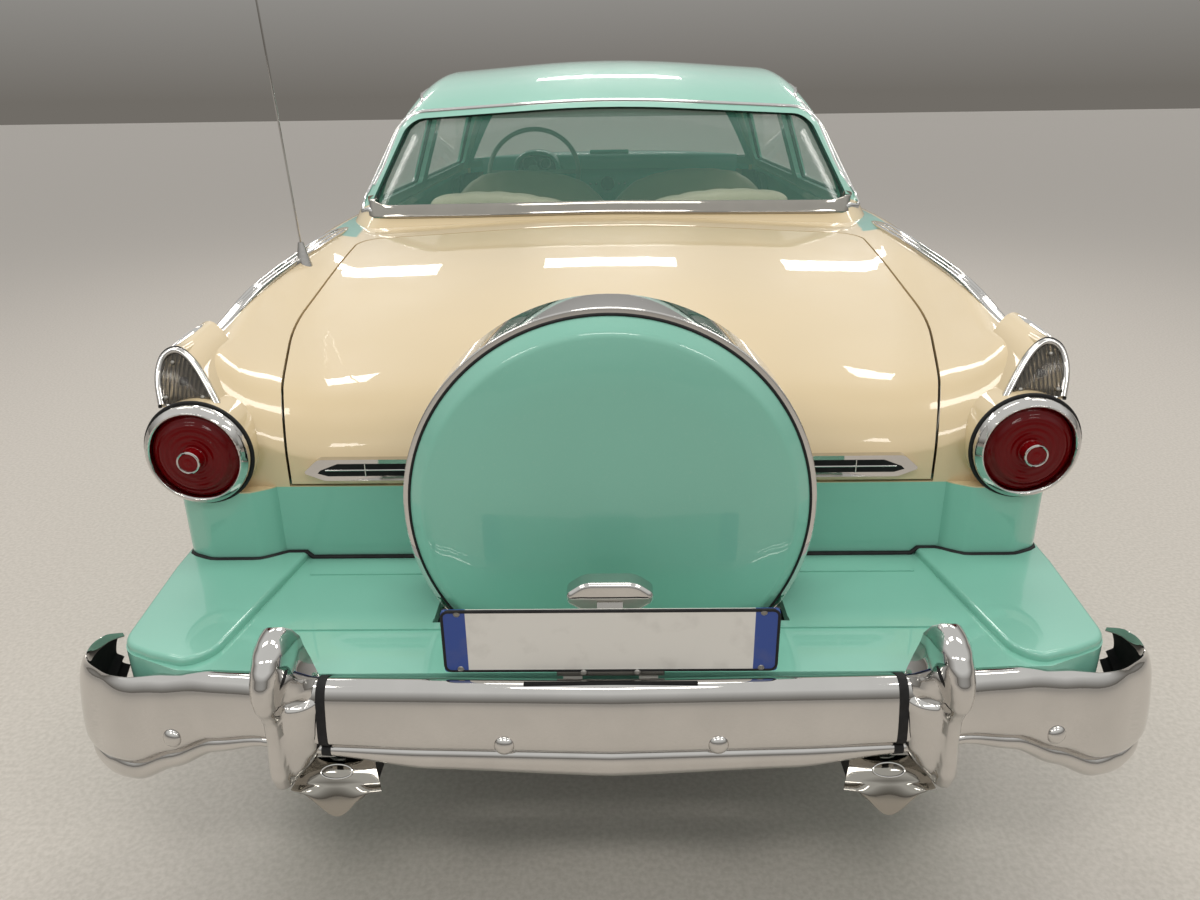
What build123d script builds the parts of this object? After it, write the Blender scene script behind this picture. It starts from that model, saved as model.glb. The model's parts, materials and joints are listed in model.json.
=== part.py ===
from build123d import *
import os
from math import atan2, cos, hypot, pi, radians, sin, tan

os.makedirs("parts", exist_ok=True)

# A full-size two-door car of the mid 1950s with a spare-wheel kit behind the boot.
# Millimetres. +Y is forwards, +X is the right-hand side, Z is up from the floor.
# The origin is on the floor, in the middle of the overall length and width.

# Driving sizes
wheelbase = 2934
front_overhang = 872
rear_overhang = 1654
body_width = 1890
front_track = 1473
rear_track = 1422
tyre_radius = 350
tyre_width = 170
rim_radius = 193
panel_gap = 5
wall = 26
door_thickness = 76
deck_thickness = 24
roof_thickness = 36
glass_thickness = 5
glass_inset = 12
clearance = 0.3
door_length = 1150

# Stations along the car
overall_length = front_overhang + wheelbase + rear_overhang
front_axle = overall_length / 2 - front_overhang
rear_axle = front_axle - wheelbase
axle_z = tyre_radius
tail = rear_axle - 1155
nose = front_axle + 735
door_front = rear_axle + 2110
half_width = body_width / 2


def soften(points, limits):
    """Corner radii that round each corner of an outline as far as its sides allow."""
    reach = 0.45
    radii = []
    for i, (x, z) in enumerate(points):
        ax, az = points[i - 1]
        bx, bz = points[(i + 1) % len(points)]
        shorter = min(hypot(x - ax, z - az), hypot(bx - x, bz - z))
        turn = abs(atan2(bz - z, bx - x) - atan2(z - az, x - ax))
        turn = min(turn, 2 * pi - turn)
        radii.append(min(limits[i], reach * shorter / tan(turn / 2)))
    return radii


def outline(plane, points, limits):
    """A closed flat shape with rounded corners."""
    limits = limits if isinstance(limits, list) else [limits] * len(points)
    with BuildSketch(plane) as shape:
        with BuildLine():
            FilletPolyline(*points, radius=soften(points, limits), close=True)
        make_face()
    return shape.sketch


def mirrored(half):
    """A closed outline from its right-hand half, which ends on the centre line where its x is 0."""
    return half + [(-x, z) for x, z in reversed(half) if x > 0]


def slab(plane, points, depth, limits=0):
    """A straight-sided block of the given depth along the plane's normal."""
    with BuildPart() as block:
        add(outline(plane, points, limits))
        extrude(amount=depth, dir=plane.z_dir)
    return block.part


def both_sides(part):
    """The part and its mirror image across the middle of the car."""
    return [part, part.mirror(Plane.YZ)]


def across(points, x_from, x_to, limits=0):
    """A block from a side outline of (y, z) points, between two places across the car."""
    return slab(Plane.YZ.offset(x_from), points, x_to - x_from, limits)


def along(points, y_from, y_to, limits=0):
    """A block from a rear-view outline of (x, z) points, between two places along the car."""
    return slab(Plane.XZ.offset(-y_to), points, y_to - y_from, limits)


def upward(points, z_from, z_to, limits=0):
    """A block from a plan outline of (x, y) points, between two heights."""
    return slab(Plane.XY.offset(z_from), points, z_to - z_from, limits)


def box(x0, x1, y0, y1, z0, z1, round_by=0):
    return upward([(x0, y0), (x1, y0), (x1, y1), (x0, y1)], z0, z1, round_by)


def rod(start, end, radius):
    """A round bar between two points."""
    direction = Vector(*end) - Vector(*start)
    with BuildPart() as bar:
        with BuildSketch(Plane(origin=start, z_dir=direction)):
            Circle(radius)
        extrude(amount=direction.length)
    return bar.part


def turned(profile, x=0, y=0, z=0, axis="X", limits=0):
    """A body of revolution from (distance along the axis, radius) points."""
    plane = Plane(origin=(x, y, z), x_dir=(1, 0, 0) if axis == "X" else (0, 1, 0),
                  z_dir=(0, -1, 0) if axis == "X" else (1, 0, 0))
    spin = Axis((x, y, z), (1, 0, 0) if axis == "X" else (0, 1, 0))
    with BuildPart() as body:
        add(outline(plane, profile, limits))
        revolve(axis=spin)
    return body.part


def save(piece, name):
    piece.part.label = name
    export_step(piece.part, f"parts/{name}.step")


# Body sections, from tail to nose. Each row is a section across the car.
# Columns: place along the car, height of the sill, half-widths of the sill, waist, shoulder and deck
# edge, heights of the waist, shoulder, deck edge and crown, and the thickness of the side wall.
body_rows = [
    (tail, 440, 762, 794, 780, 606, 640, 862, 768, 778, wall),
    (tail + 20, 436, 804, 836, 812, 614, 645, 915, 802, 822, wall),
    (tail + 65, 428, 832, 868, 838, 632, 650, 978, 842, 868, wall),
    (rear_axle - 960, 410, 846, 888, 842, 664, 660, 1008, 886, 925, wall),
    (rear_axle - 750, 385, 862, 906, 842, 712, 670, 1030, 930, 985, wall),
    (rear_axle - 400, 335, 880, 924, 838, 736, 690, 1054, 1002, 1050, wall),
    (rear_axle, 300, 890, 936, 832, 748, 700, 1072, 1052, 1092, wall),
    (rear_axle + 450, 286, 897, half_width + 2, 830, 748, 700, 1074, 1064, 1102, 50),
    (rear_axle + 900, 285, 900, half_width + 6, 836, 748, 700, 1078, 1068, 1106, door_thickness),
    (door_front + 30, 285, 900, half_width + 6, 842, 748, 700, 1078, 1068, 1106, door_thickness),
    (front_axle - 450, 300, 893, 943, 842, 735, 700, 1066, 1062, 1100, 40),
    (front_axle, 340, 880, 934, 838, 706, 700, 1040, 1032, 1076, wall),
    (front_axle + 350, 376, 866, 922, 830, 664, 700, 1006, 990, 1034, wall),
    (front_axle + 580, 402, 848, 902, 812, 628, 690, 962, 940, 978, wall),
    (front_axle + 680, 414, 822, 872, 790, 604, 680, 920, 896, 926, wall),
    (nose, 424, 776, 816, 742, 580, 660, 862, 838, 864, wall),
]
open_belly = 160
end_wall = 40


def body_section(row, inside, shift=0):
    y, sill_z, sill, waist, shoulder, edge, waist_z, shoulder_z, edge_z, crown_z, side = row
    side, drop, belly = (side, deck_thickness, open_belly) if inside else (0, 0, 0)
    points = mirrored([
        (sill - side, sill_z - belly),
        (waist - side, waist_z),
        (shoulder - side, shoulder_z - drop),
        (edge - side / 3, edge_z - drop),
        (0, crown_z - drop),
    ])
    limits = [40, 2000, 60, 300, 9000, 300, 60, 2000, 40]
    return outline(Plane.XZ.offset(-y - shift), points, limits)


with BuildPart() as body_form:
    for row in body_rows:
        add(body_section(row, False))
    loft()

end_shifts = [end_wall, end_wall] + [0] * (len(body_rows) - 4) + [-end_wall, -end_wall]
with BuildPart() as body_hollow:
    for row, shift in zip(body_rows, end_shifts):
        add(body_section(row, True, shift))
    loft()

# The cabin above the belt: a leaning ring of walls cut by the roof's own form.
belt_z = 1079
side_lean = 0.332
belt_half_width = 785
foot_z, sky_z = 1000, 1600
# Plan corners of the cabin at the belt and how far each moves along the car per mm of height.
rear_centre, rear_centre_lean = rear_axle - 60, 1.441
rear_corner, rear_corner_lean = rear_axle + 20, 1.099
front_corner, front_corner_lean = rear_axle + 2270, -0.486
front_centre, front_centre_lean = rear_axle + 2400, -0.768
# Columns: place along the car, height of the side rail and of the crown.
roof_rows = [
    (rear_axle - 150, 1088, 1122),
    (rear_axle + 391, 1352, 1396),
    (rear_axle + 680, 1456, 1500),
    (rear_axle + 1050, 1502, 1549),
    (rear_axle + 1500, 1494, 1542),
    (rear_axle + 2090, 1412, 1458),
    (rear_axle + 2520, 1290, 1330),
]


def cabin_plan(z, inset):
    rise = z - belt_z
    side = belt_half_width - side_lean * rise - 1.054 * inset + 1.5
    rear_in, front_in = 1.75 * inset, 1.26 * inset
    points = mirrored([
        (0, rear_centre + rear_centre_lean * rise + rear_in),
        (side, rear_corner + rear_corner_lean * rise + rear_in),
        (side, front_corner + front_corner_lean * rise - front_in),
        (0, front_centre + front_centre_lean * rise - front_in),
    ])
    limits = [4000, 150, 220, 4000, 220, 150]
    return outline(Plane.XY.offset(z), points, limits)


def roof_section(row, inset):
    y, rail_z, crown_z = row
    side = belt_half_width - 1.054 * inset
    rail_z, crown_z = rail_z - 1.05 * inset, crown_z - 1.05 * inset
    points = mirrored([
        (side - side_lean * (foot_z - belt_z), foot_z),
        (side - side_lean * (rail_z - belt_z), rail_z),
        (0, crown_z),
    ])
    return outline(Plane.XZ.offset(-y), points, [0, 110, 9000, 110, 0])


def cabin_form(inset):
    with BuildPart() as ring:
        add(cabin_plan(foot_z, inset))
        add(cabin_plan(sky_z, inset))
        loft(ruled=True)
    with BuildPart() as dome:
        for row in roof_rows:
            add(roof_section(row, inset))
        loft()
    with BuildPart() as form:
        add(ring.part)
        add(dome.part, mode=Mode.INTERSECT)
    return form.part


cabin_outside = cabin_form(0)
cabin_inside = cabin_form(roof_thickness)
glass_outside = cabin_form(glass_inset)
glass_inside = cabin_form(glass_inset + glass_thickness)

# Window openings: side outlines of (y, z) and rear-view outlines of (x, z), grown by a margin.


def window_block(name, grow):
    g = grow
    if name == "door":
        points = [(rear_axle + 1032 - g, 1104 - g), (rear_axle + 2052 + g, 1104 - g),
                  (rear_axle + 1950 + g, 1384 + g), (rear_axle + 1032 - g, 1384 + g)]
        return across(points, 500, 900, [20, 20, 40, 20])
    if name == "quarter":
        points = [(rear_axle + 945 + g, 1104 - g), (rear_axle + 945 + g, 1384 + g),
                  (rear_axle + 520 - g, 1384 + g), (rear_axle + 250 - 1.3 * g, 1180),
                  (rear_axle + 235 - 1.3 * g, 1104 - g)]
        return across(points, 500, 900, [20, 20, 90, 60, 30])
    if name == "rear":
        points = mirrored([(0, 1094 - g), (742 + g, 1082 - g), (648 + g, 1350 + g), (0, 1386 + g)])
        return along(points, rear_axle - 250, rear_axle + 480, [4000, 40, 70, 4000, 70, 40])
    points = mirrored([(0, 1112 - g), (900, 1104 - g), (900, 1374 + g), (660, 1384 + g), (0, 1424 + g)])
    pillar_line = [(rear_axle + 2152 - g, 1060), (rear_axle + 2700, 1060), (rear_axle + 2700, 1480),
                   (rear_axle + 2022 - g, 1480)]
    with BuildPart() as front_view:
        add(along(points, rear_axle + 1900, rear_axle + 2650, [4000, 0, 0, 600, 4000, 600, 0, 0]))
        add(across(pillar_line, -950, 950), mode=Mode.INTERSECT)
    return front_view.part


# Doors swing about upright hinges at their front edge, and their rear edge follows the swing.
hinge_x = half_width + 8
door_bottom = 330


def door_space(grow):
    side_points = [
        (door_front + grow, door_bottom - grow), (door_front + grow, 1078),
        (rear_axle + 1992 + grow, 1416 + grow), (rear_axle + 600, 1416 + grow),
        (rear_axle + 600, door_bottom - grow),
    ]
    with BuildPart() as space:
        with BuildSketch(Plane.XY.offset(door_bottom - 100)):
            with Locations((hinge_x, door_front)):
                Circle(door_length + grow)
        extrude(amount=1300)
        add(across(side_points, 450, 1000, [0, 60, 50, 0, 0]), mode=Mode.INTERSECT)
    return space.part


# Outlines of the lids in plan. The body's openings are larger by the panel gap all round.
bonnet_rear = front_axle - 520
bonnet_lip_z = 842
boot_front = rear_axle - 150
boot_lip_z = 722


def bonnet_space(grow):
    points = mirrored([
        (640 + grow, bonnet_rear - grow), (600 + grow, front_axle + 300), (520 + grow, nose + 60),
    ])
    return upward(points, bonnet_lip_z - grow, 1300, [30, 900, 0, 0, 900, 30])


def boot_space(grow):
    points = mirrored([
        (706 + grow, boot_front + grow), (712 + grow, rear_axle - 760),
        (650 + grow, rear_axle - 1040), (600 + grow, tail - 60),
    ])
    limits = [60, 900, 300, 0, 0, 300, 900, 60]
    return upward(points, boot_lip_z - grow, 1300, limits)


with BuildPart() as skin:
    add(body_form.part)
    add(body_hollow.part, mode=Mode.SUBTRACT)

# Wheel arches and wheelhouses
arch_radius = 398
arch_z = axle_z + 8
rear_opening_top = 690


def arch(y, radius, x_from, x_to):
    """The space round a wheel: a half round above the wheel and straight down below."""
    with BuildPart() as space:
        with BuildSketch(Plane.YZ.offset(x_from)):
            with Locations((y, arch_z)):
                Circle(radius)
            with Locations((y, arch_z - 200)):
                Rectangle(2 * radius, 400)
        extrude(amount=x_to - x_from)
    return space.part


def rear_opening():
    """The flatter opening that the rear quarter leaves in front of its wheel."""
    points = [(rear_axle - 388, 150), (rear_axle + 388, 150), (rear_axle + 378, rear_opening_top - 60),
              (rear_axle + 250, rear_opening_top), (rear_axle - 250, rear_opening_top),
              (rear_axle - 378, rear_opening_top - 60)]
    return across(points, 780, 1000, [0, 0, 200, 200, 200, 200])


wheelhouse_x = 588
wheelhouse_wall = 10

# Tail lamp pods: a round lamp with a leaning arch above it, and a rounded column below it.
lamp_x, lamp_z, lamp_radius = 772, 800, 100
lamp_face = tail - 30
arch_foot_z, arch_top_z = 894, 982
arch_foot_y, arch_top_y = tail + 8, tail + 62
pod_front = rear_axle - 940
arch_half = [(716, lamp_z), (806, arch_top_z), (838, arch_top_z), (846, lamp_z)]
arch_side = [(pod_front, lamp_z), (arch_foot_y, lamp_z), (arch_foot_y, arch_foot_z), (arch_top_y, arch_top_z),
             (pod_front, arch_top_z + 18)]
column_top = lamp_z - 82
with BuildPart() as pod:
    add(along(arch_half, lamp_face, pod_front, [0, 14, 14, 0]))
    add(across(arch_side, 500, 900), mode=Mode.INTERSECT)
    add(rod((lamp_x, lamp_face, lamp_z), (lamp_x, pod_front, lamp_z), lamp_radius))
    column = [(640, tail + 60), (846, tail + 60), (842, tail - 2), (786, lamp_face), (690, lamp_face),
              (640, tail)]
    add(upward(column, 448, column_top, [0, 0, 40, 40, 30, 60]))

# Body shell: quarters, sills, cowl, firewall, tail panel, pods and rear wheelhouses.
firewall_y = bonnet_rear - 45
sheet = 10
post_x = 716
cabin_opening = upward(mirrored([
    (0, rear_axle + 90), (690, rear_axle + 130), (738, rear_axle + 260), (738, rear_axle + 2110),
    (640, rear_axle + 2220), (0, rear_axle + 2270),
]), 900, 1250, 40)
with BuildPart() as wheelhouses:
    add(arch(rear_axle, arch_radius + wheelhouse_wall, wheelhouse_x - wheelhouse_wall, 960))
    add(arch(rear_axle, arch_radius, wheelhouse_x, 1000), mode=Mode.SUBTRACT)
    add(box(500, 1000, rear_axle - 500, rear_axle + 500, -100, 300), mode=Mode.SUBTRACT)
    add(box(500, wheelhouse_x + 1, rear_axle - 110, rear_axle + 110, 0, axle_z + 120), mode=Mode.SUBTRACT)
    add(body_form.part, mode=Mode.INTERSECT)
with BuildPart() as firewall:
    add(box(-720, 720, firewall_y, firewall_y + sheet, 560, 1300))
    add(body_form.part, mode=Mode.INTERSECT)
    for side in (-1, 1):
        x0, x1 = sorted((side * 700, side * post_x))
        add(box(x0, x1, firewall_y, firewall_y + sheet, 560, 1000))
        x0, x1 = sorted((side * (post_x - sheet), side * post_x))
        add(box(x0, x1, door_front - 80, firewall_y + sheet, 292, 1000))
        x0, x1 = sorted((side * (post_x - sheet), side * 860))
        add(box(x0, x1, door_front - 80, door_front - 20, 292, 322))

# A striker behind each door, and buffers that the boot lid rests on.
striker_z, striker_depth = 700, 40
with BuildPart() as striker:
    with BuildSketch(Plane.XY.offset(striker_z)):
        with Locations((hinge_x, door_front)):
            Circle(door_length + panel_gap + 2)
            Circle(door_length + clearance, mode=Mode.SUBTRACT)
    extrude(amount=striker_depth)
    add(box(890, 930, rear_axle + 600, rear_axle + 1100, striker_z, striker_z + striker_depth), mode=Mode.INTERSECT)
buffer_x, buffer_half = 420, 15


def buffers(lip_z, y):
    """A pair of low blocks under the lip of a lid."""
    return both_sides(box(buffer_x - buffer_half, buffer_x + buffer_half, y - 10, y + 10,
                          lip_z - panel_gap - 1, lip_z - clearance))


with BuildPart() as body_shell:
    add(skin.part)
    add(box(-1000, 1000, bonnet_rear - panel_gap, nose + 50, 0, 1300), mode=Mode.SUBTRACT)
    add([wheelhouses.part, wheelhouses.part.mirror(Plane.YZ)])
    add([pod.part, pod.part.mirror(Plane.YZ)])
    add(both_sides(rear_opening()), mode=Mode.SUBTRACT)
    add(both_sides(door_space(panel_gap)), mode=Mode.SUBTRACT)
    add(cabin_opening, mode=Mode.SUBTRACT)
    add(boot_space(panel_gap), mode=Mode.SUBTRACT)
    add(both_sides(box(720, 1000, door_front + panel_gap - 1, nose, 0, 1300)), mode=Mode.SUBTRACT)
    add(firewall.part)
    add(both_sides(striker.part))
    add(buffers(boot_lip_z, tail + end_wall / 2))
save(body_shell, "body_shell")

with BuildPart() as bonnet:
    add(skin.part)
    add(bonnet_space(0), mode=Mode.INTERSECT)
save(bonnet, "bonnet")

with BuildPart() as boot_lid:
    add(skin.part)
    add(boot_space(0), mode=Mode.INTERSECT)
save(boot_lid, "boot_lid")

# Front fenders, each with the tube that its headlamp sits in.
nose_half = 600
headlamp_x, headlamp_z, headlamp_radius = 722, 748, 100
headlamp_face = nose + 18
lamp_tube = turned([(-150, 0), (-150, headlamp_radius + 14), (20, headlamp_radius + 14), (34, headlamp_radius + 4),
                    (34, 0)], headlamp_x, headlamp_face - 34, headlamp_z, "Y")
lamp_bore = turned([(-60, 0), (-60, headlamp_radius), (60, headlamp_radius), (60, 0)],
                   headlamp_x, headlamp_face - 34, headlamp_z, "Y")
with BuildPart() as fender:
    add(skin.part)
    add(box(nose_half + clearance, 1000, door_front + panel_gap, nose + 50, 0, 1300), mode=Mode.INTERSECT)
    add(arch(front_axle, arch_radius, 500, 1000), mode=Mode.SUBTRACT)
    add(bonnet_space(panel_gap), mode=Mode.SUBTRACT)
    add(box(0, 720 + clearance, rear_axle, bonnet_rear - panel_gap, 0, 1300), mode=Mode.SUBTRACT)
    add(lamp_tube)
    add(lamp_bore, mode=Mode.SUBTRACT)
save(fender, "front_fender_right")
with BuildPart() as fender_left:
    add(fender.part.mirror(Plane.YZ))
save(fender_left, "front_fender_left")

# Nose panel under the bonnet lip, with the grille's opening.
grille_half, grille_low, grille_high = 560, 560, 790
with BuildPart() as nose_panel:
    add(skin.part)
    add(box(-nose_half, nose_half, front_axle + 560, nose + 50, 0, 1300), mode=Mode.INTERSECT)
    add(bonnet_space(panel_gap), mode=Mode.SUBTRACT)
    add(box(-grille_half, grille_half, front_axle + 500, nose + 60, grille_low, grille_high), mode=Mode.SUBTRACT)
    add(buffers(bonnet_lip_z, nose - end_wall / 2))
save(nose_panel, "nose_panel")

# Grille: an egg-crate of thin bars, hollowed in plan.
grille_columns, grille_rows, grille_bar = 26, 5, 6
grille_width = 2 * (grille_half - clearance)
grille_height = grille_high - grille_low - 2 * clearance
cell_width = (grille_width - grille_bar) / grille_columns
cell_height = (grille_height - grille_bar) / grille_rows
grille_radius = 2600
with BuildPart() as grille:
    with BuildSketch(Plane.XZ.offset(-nose)):
        with Locations((0, (grille_low + grille_high) / 2)):
            Rectangle(grille_width, grille_height)
            with GridLocations(cell_width, cell_height, grille_columns, grille_rows):
                Rectangle(cell_width - grille_bar, cell_height - grille_bar, mode=Mode.SUBTRACT)
    extrude(amount=120)
    with BuildSketch(Plane.XY.offset(grille_low - 50)):
        with Locations((0, nose - 68 + grille_radius)):
            Circle(grille_radius)
            Circle(grille_radius - 24, mode=Mode.SUBTRACT)
    extrude(amount=400, mode=Mode.INTERSECT)
save(grille, "grille")

# Cabin walls, roof and door frames
with BuildPart() as cabin_walls:
    add(cabin_outside)
    add(cabin_inside, mode=Mode.SUBTRACT)
    add(body_form.part, mode=Mode.SUBTRACT)

with BuildPart() as roof:
    add(cabin_walls.part)
    for name in ("door", "quarter"):
        add(both_sides(window_block(name, 0)), mode=Mode.SUBTRACT)
    for name in ("rear", "windscreen"):
        add(window_block(name, 0), mode=Mode.SUBTRACT)
    add(both_sides(door_space(panel_gap)), mode=Mode.SUBTRACT)
save(roof, "roof")

with BuildPart() as door_frame:
    add(cabin_walls.part)
    add(door_space(0), mode=Mode.INTERSECT)
with BuildPart() as door:
    add(skin.part)
    add(door_space(0), mode=Mode.INTERSECT)
    add(cabin_opening, mode=Mode.SUBTRACT)
    add(door_frame.part)
    add(window_block("door", 0), mode=Mode.SUBTRACT)
save(door, "door_right")
with BuildPart() as door_left:
    add(door.part.mirror(Plane.YZ))
save(door_left, "door_left")

# Glass
with BuildPart() as glass:
    add(glass_outside)
    add(glass_inside, mode=Mode.SUBTRACT)
for name, file in (("rear", "rear_window"), ("windscreen", "windscreen")):
    with BuildPart() as pane:
        add(glass.part)
        add(window_block(name, -clearance), mode=Mode.INTERSECT)
    save(pane, file)
with BuildPart() as quarter_windows:
    add(glass.part)
    add(both_sides(window_block("quarter", -clearance)), mode=Mode.INTERSECT)
save(quarter_windows, "quarter_windows")
with BuildPart() as door_glass:
    add(glass.part)
    add(window_block("door", -clearance), mode=Mode.INTERSECT)
save(door_glass, "door_glass_right")
with BuildPart() as door_glass_left:
    add(door_glass.part.mirror(Plane.YZ))
save(door_glass_left, "door_glass_left")

# Floor pan: a stepped sheet between the body's walls, with a tunnel over the shafts.
floor_sheet = 8
boot_floor_z = 432
floor_line = [
    (tail + end_wall, boot_floor_z), (rear_axle - 420, boot_floor_z), (rear_axle - 340, 540), (rear_axle + 240, 540),
    (rear_axle + 330, 318), (front_axle - 800, 318), (front_axle - 620, 540), (firewall_y, 632),
]
floor_band = floor_line + [(y, z + floor_sheet) for y, z in reversed(floor_line)]
tunnel_half, tunnel_top = 130, 500
tunnel_rear = rear_axle + 290


def tunnel(grow, z_from, y_to):
    points = mirrored([(tunnel_half + grow, z_from), (tunnel_half + grow, tunnel_top + grow)])
    return along(points, tunnel_rear, y_to, [0, 60, 60, 0])


with BuildPart() as floor_pan:
    add(across(floor_band, -950, 950))
    add(tunnel(floor_sheet, 318, firewall_y - 60))
    add(tunnel(0, 200, firewall_y - 0.5), mode=Mode.SUBTRACT)
    for side in (-1, 1):
        x0, x1 = sorted((side * (wheelhouse_x - wheelhouse_wall - clearance), side * 1000))
        add(arch(rear_axle, arch_radius + wheelhouse_wall + clearance, x0, x1), mode=Mode.SUBTRACT)
        x0, x1 = sorted((side * (post_x - sheet - clearance), side * 1000))
        add(box(x0, x1, door_front - 80 - clearance, nose, 0, 1000), mode=Mode.SUBTRACT)
    add(body_hollow.part, mode=Mode.INTERSECT)
save(floor_pan, "floor_pan")

# Ladder frame: two side rails that rise over the axles, with cross members.
rail_in, rail_out, rail_height = 395, 455, 90
bay_floor_z = 420
frame_rear, frame_front = rear_axle - 1560, nose - end_wall - 3
shaft_z = axle_z
shaft_radius = 36
kingpin_low, kingpin_high = 264, 468
rail_top = [
    (frame_rear, boot_floor_z), (rear_axle - 420, boot_floor_z), (rear_axle - 340, 540), (rear_axle + 240, 540),
    (rear_axle + 330, 318), (front_axle - 780, 318), (front_axle - 560, bay_floor_z), (frame_front, bay_floor_z),
]
rail_side = rail_top + [(y, z - rail_height) for y, z in reversed(rail_top)]
cross_members = [
    # place along the car, half width of the member along the car, underside, top
    (rear_axle - 1185, 34, boot_floor_z - rail_height, boot_floor_z),
    (rear_axle - 520, 35, boot_floor_z - 60, boot_floor_z),
    (rear_axle + 620, 45, 262, shaft_z - shaft_radius - 4),
    (front_axle - 1150, 45, 262, shaft_z - shaft_radius - 4),
    (front_axle, 70, kingpin_low, 330),
    (front_axle + 650, 35, bay_floor_z - 80, bay_floor_z),
]
with BuildPart() as frame:
    for side in (-1, 1):
        x0, x1 = sorted((side * rail_in, side * rail_out))
        add(across(rail_side, x0, x1))
    for y, half, low, high in cross_members:
        add(box(-rail_in - 1, rail_in + 1, y - half, y + half, low, high))
    for side in (-1, 1):
        x0, x1 = sorted((side * (rail_in - 55), side * (rail_in + 1)))
        add(box(x0, x1, front_axle - 70, front_axle + 70, kingpin_low, 360))
save(frame, "frame")

# Engine bay sheet metal: inner aprons with ledges that carry the fenders.
apron_x = rail_out - 15
with BuildPart() as engine_bay:
    for side in (-1, 1):
        x0, x1 = sorted((side * apron_x, side * (apron_x + 8)))
        add(box(x0, x1, firewall_y + sheet, front_axle + 560, bay_floor_z, 930))
        x0, x1 = sorted((side * (apron_x + 4), side * 1000))
        add(box(x0, x1, firewall_y + sheet, front_axle + 560, 880, 888))
    add(box(-apron_x - 4, apron_x + 4, front_axle + 552, front_axle + 560, bay_floor_z, 860))
    add(box(-300, 300, front_axle + 500, front_axle + 600, 470, 800), mode=Mode.SUBTRACT)
    add(box(-1000, 1000, front_axle - 115, front_axle + 115, 0, kingpin_high + 40), mode=Mode.SUBTRACT)
    add(body_hollow.part, mode=Mode.INTERSECT)
save(engine_bay, "engine_bay")

# Engine block with the radiator ahead of it.
engine_bottom, engine_top = 330, 860
radiator_y = front_axle + 500
with BuildPart() as engine:
    add(box(-280, 280, front_axle - 440, front_axle + 240, engine_bottom, engine_top, 30))
    add(box(-120, 120, front_axle + 240, front_axle + 330, 420, 640, 20))
    add(box(-320, 320, radiator_y, radiator_y + 52, 440, 850, 10))
    add(box(-rail_in - 5, rail_in + 5, radiator_y + 5, radiator_y + 45, bay_floor_z, 441))
save(engine, "engine")

# Gearbox and propeller shaft, in line with the rear axle.
axle_tube = 40
drive_casing = 145
with BuildPart() as driveline:
    add(box(-100, 100, front_axle - 1020, front_axle - 440, shaft_z - 100, shaft_z + 130, 40))
    shaft_length = wheelbase - 1020 - drive_casing
    add(turned([(0, 0), (0, 48), (40, 48), (40, shaft_radius), (shaft_length, shaft_radius),
                (shaft_length, 0)],
               0, rear_axle + drive_casing, shaft_z, "Y"))
save(driveline, "driveline")

# Rear axle with its casing, leaf springs and hangers.
axle_half = rear_track / 2 - 92
spindle = 25
spring_in, spring_out = 500, 556
with BuildPart() as axle:
    add(turned([(-axle_half, 0), (-axle_half, axle_tube), (axle_half, axle_tube), (axle_half, 0)], 0, rear_axle, axle_z))
    add(turned([(-drive_casing, 0), (-drive_casing, 60), (-60, drive_casing), (60, drive_casing), (drive_casing, 60),
                (drive_casing, 0)], 0, rear_axle, axle_z, "Y", [0, 30, 60, 60, 30, 0]))
    for side in (-1, 1):
        end = side * axle_half
        tip = side * (rear_track / 2 + 20)
        add(rod((end, rear_axle, axle_z), (tip, rear_axle, axle_z), spindle))
        add(rod((end - side * 14, rear_axle, axle_z), (end, rear_axle, axle_z), 62))
        x0, x1 = sorted((side * spring_in, side * spring_out))
        leaf = [(rear_axle - 720, 372), (rear_axle - 400, 306), (rear_axle, 280), (rear_axle + 400, 262),
                (rear_axle + 560, 268)]
        add(across(leaf + [(y, z + 22) for y, z in reversed(leaf)], x0, x1, [0, 200, 300, 200, 0, 0, 200, 300, 200, 0]))
        add(box(x0 + 4, x1 - 4, rear_axle - 60, rear_axle + 60, 295, 345))
        x0, x1 = sorted((side * (rail_out + clearance), side * spring_out))
        add(box(x0, x1, rear_axle + 530, rear_axle + 560, 262, 318))
        add(box(x0, x1, rear_axle - 735, rear_axle - 705, 372, boot_floor_z - 10))
save(axle, "rear_axle")

# Front suspension: two arms on each side that hold an upright kingpin.
kingpin_x = 645
arm_sheet = 24
kingpin_radius = 20
with BuildPart() as suspension:
    for side in (-1, 1):
        for low, root in ((kingpin_low - clearance - arm_sheet, rail_in - 55),
                          (kingpin_high + clearance, rail_in + 8)):
            tip = side * kingpin_x
            plan = [(side * root, front_axle - 95), (tip, front_axle - 22), (tip, front_axle + 22),
                    (side * root, front_axle + 95)]
            if side < 0:
                plan = plan[::-1]
            add(upward(plan, low, low + arm_sheet))
            add(rod((tip, front_axle, low), (tip, front_axle, low + arm_sheet), 24))
        x0, x1 = sorted((side * (rail_in + 5), side * (rail_out - 5)))
        add(box(x0, x1, front_axle - 95, front_axle + 95, bay_floor_z, kingpin_high + clearance + 2))
save(suspension, "front_suspension")

# Knuckles: kingpin, wheel spindle and brake plate.
front_half = front_track / 2
with BuildPart() as knuckle:
    add(rod((kingpin_x, front_axle, kingpin_low), (kingpin_x, front_axle, kingpin_high), kingpin_radius))
    add(rod((kingpin_x, front_axle, axle_z), (front_half + 20, front_axle, axle_z), spindle))
    add(rod((kingpin_x + 29, front_axle, axle_z), (kingpin_x + 34, front_axle, axle_z), 130))
    add(box(kingpin_x - 10, kingpin_x + 10, front_axle - 170, front_axle + 5, axle_z - 40, axle_z - 20))
save(knuckle, "knuckle_right")
with BuildPart() as knuckle_left:
    add(knuckle.part.mirror(Plane.YZ))
save(knuckle_left, "knuckle_left")

# Wheels: rim, disc, hub and cap in one turned piece, and tyres with round shoulders.
rim_half = 58
hub_in, hub_out = -52, 36


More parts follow.
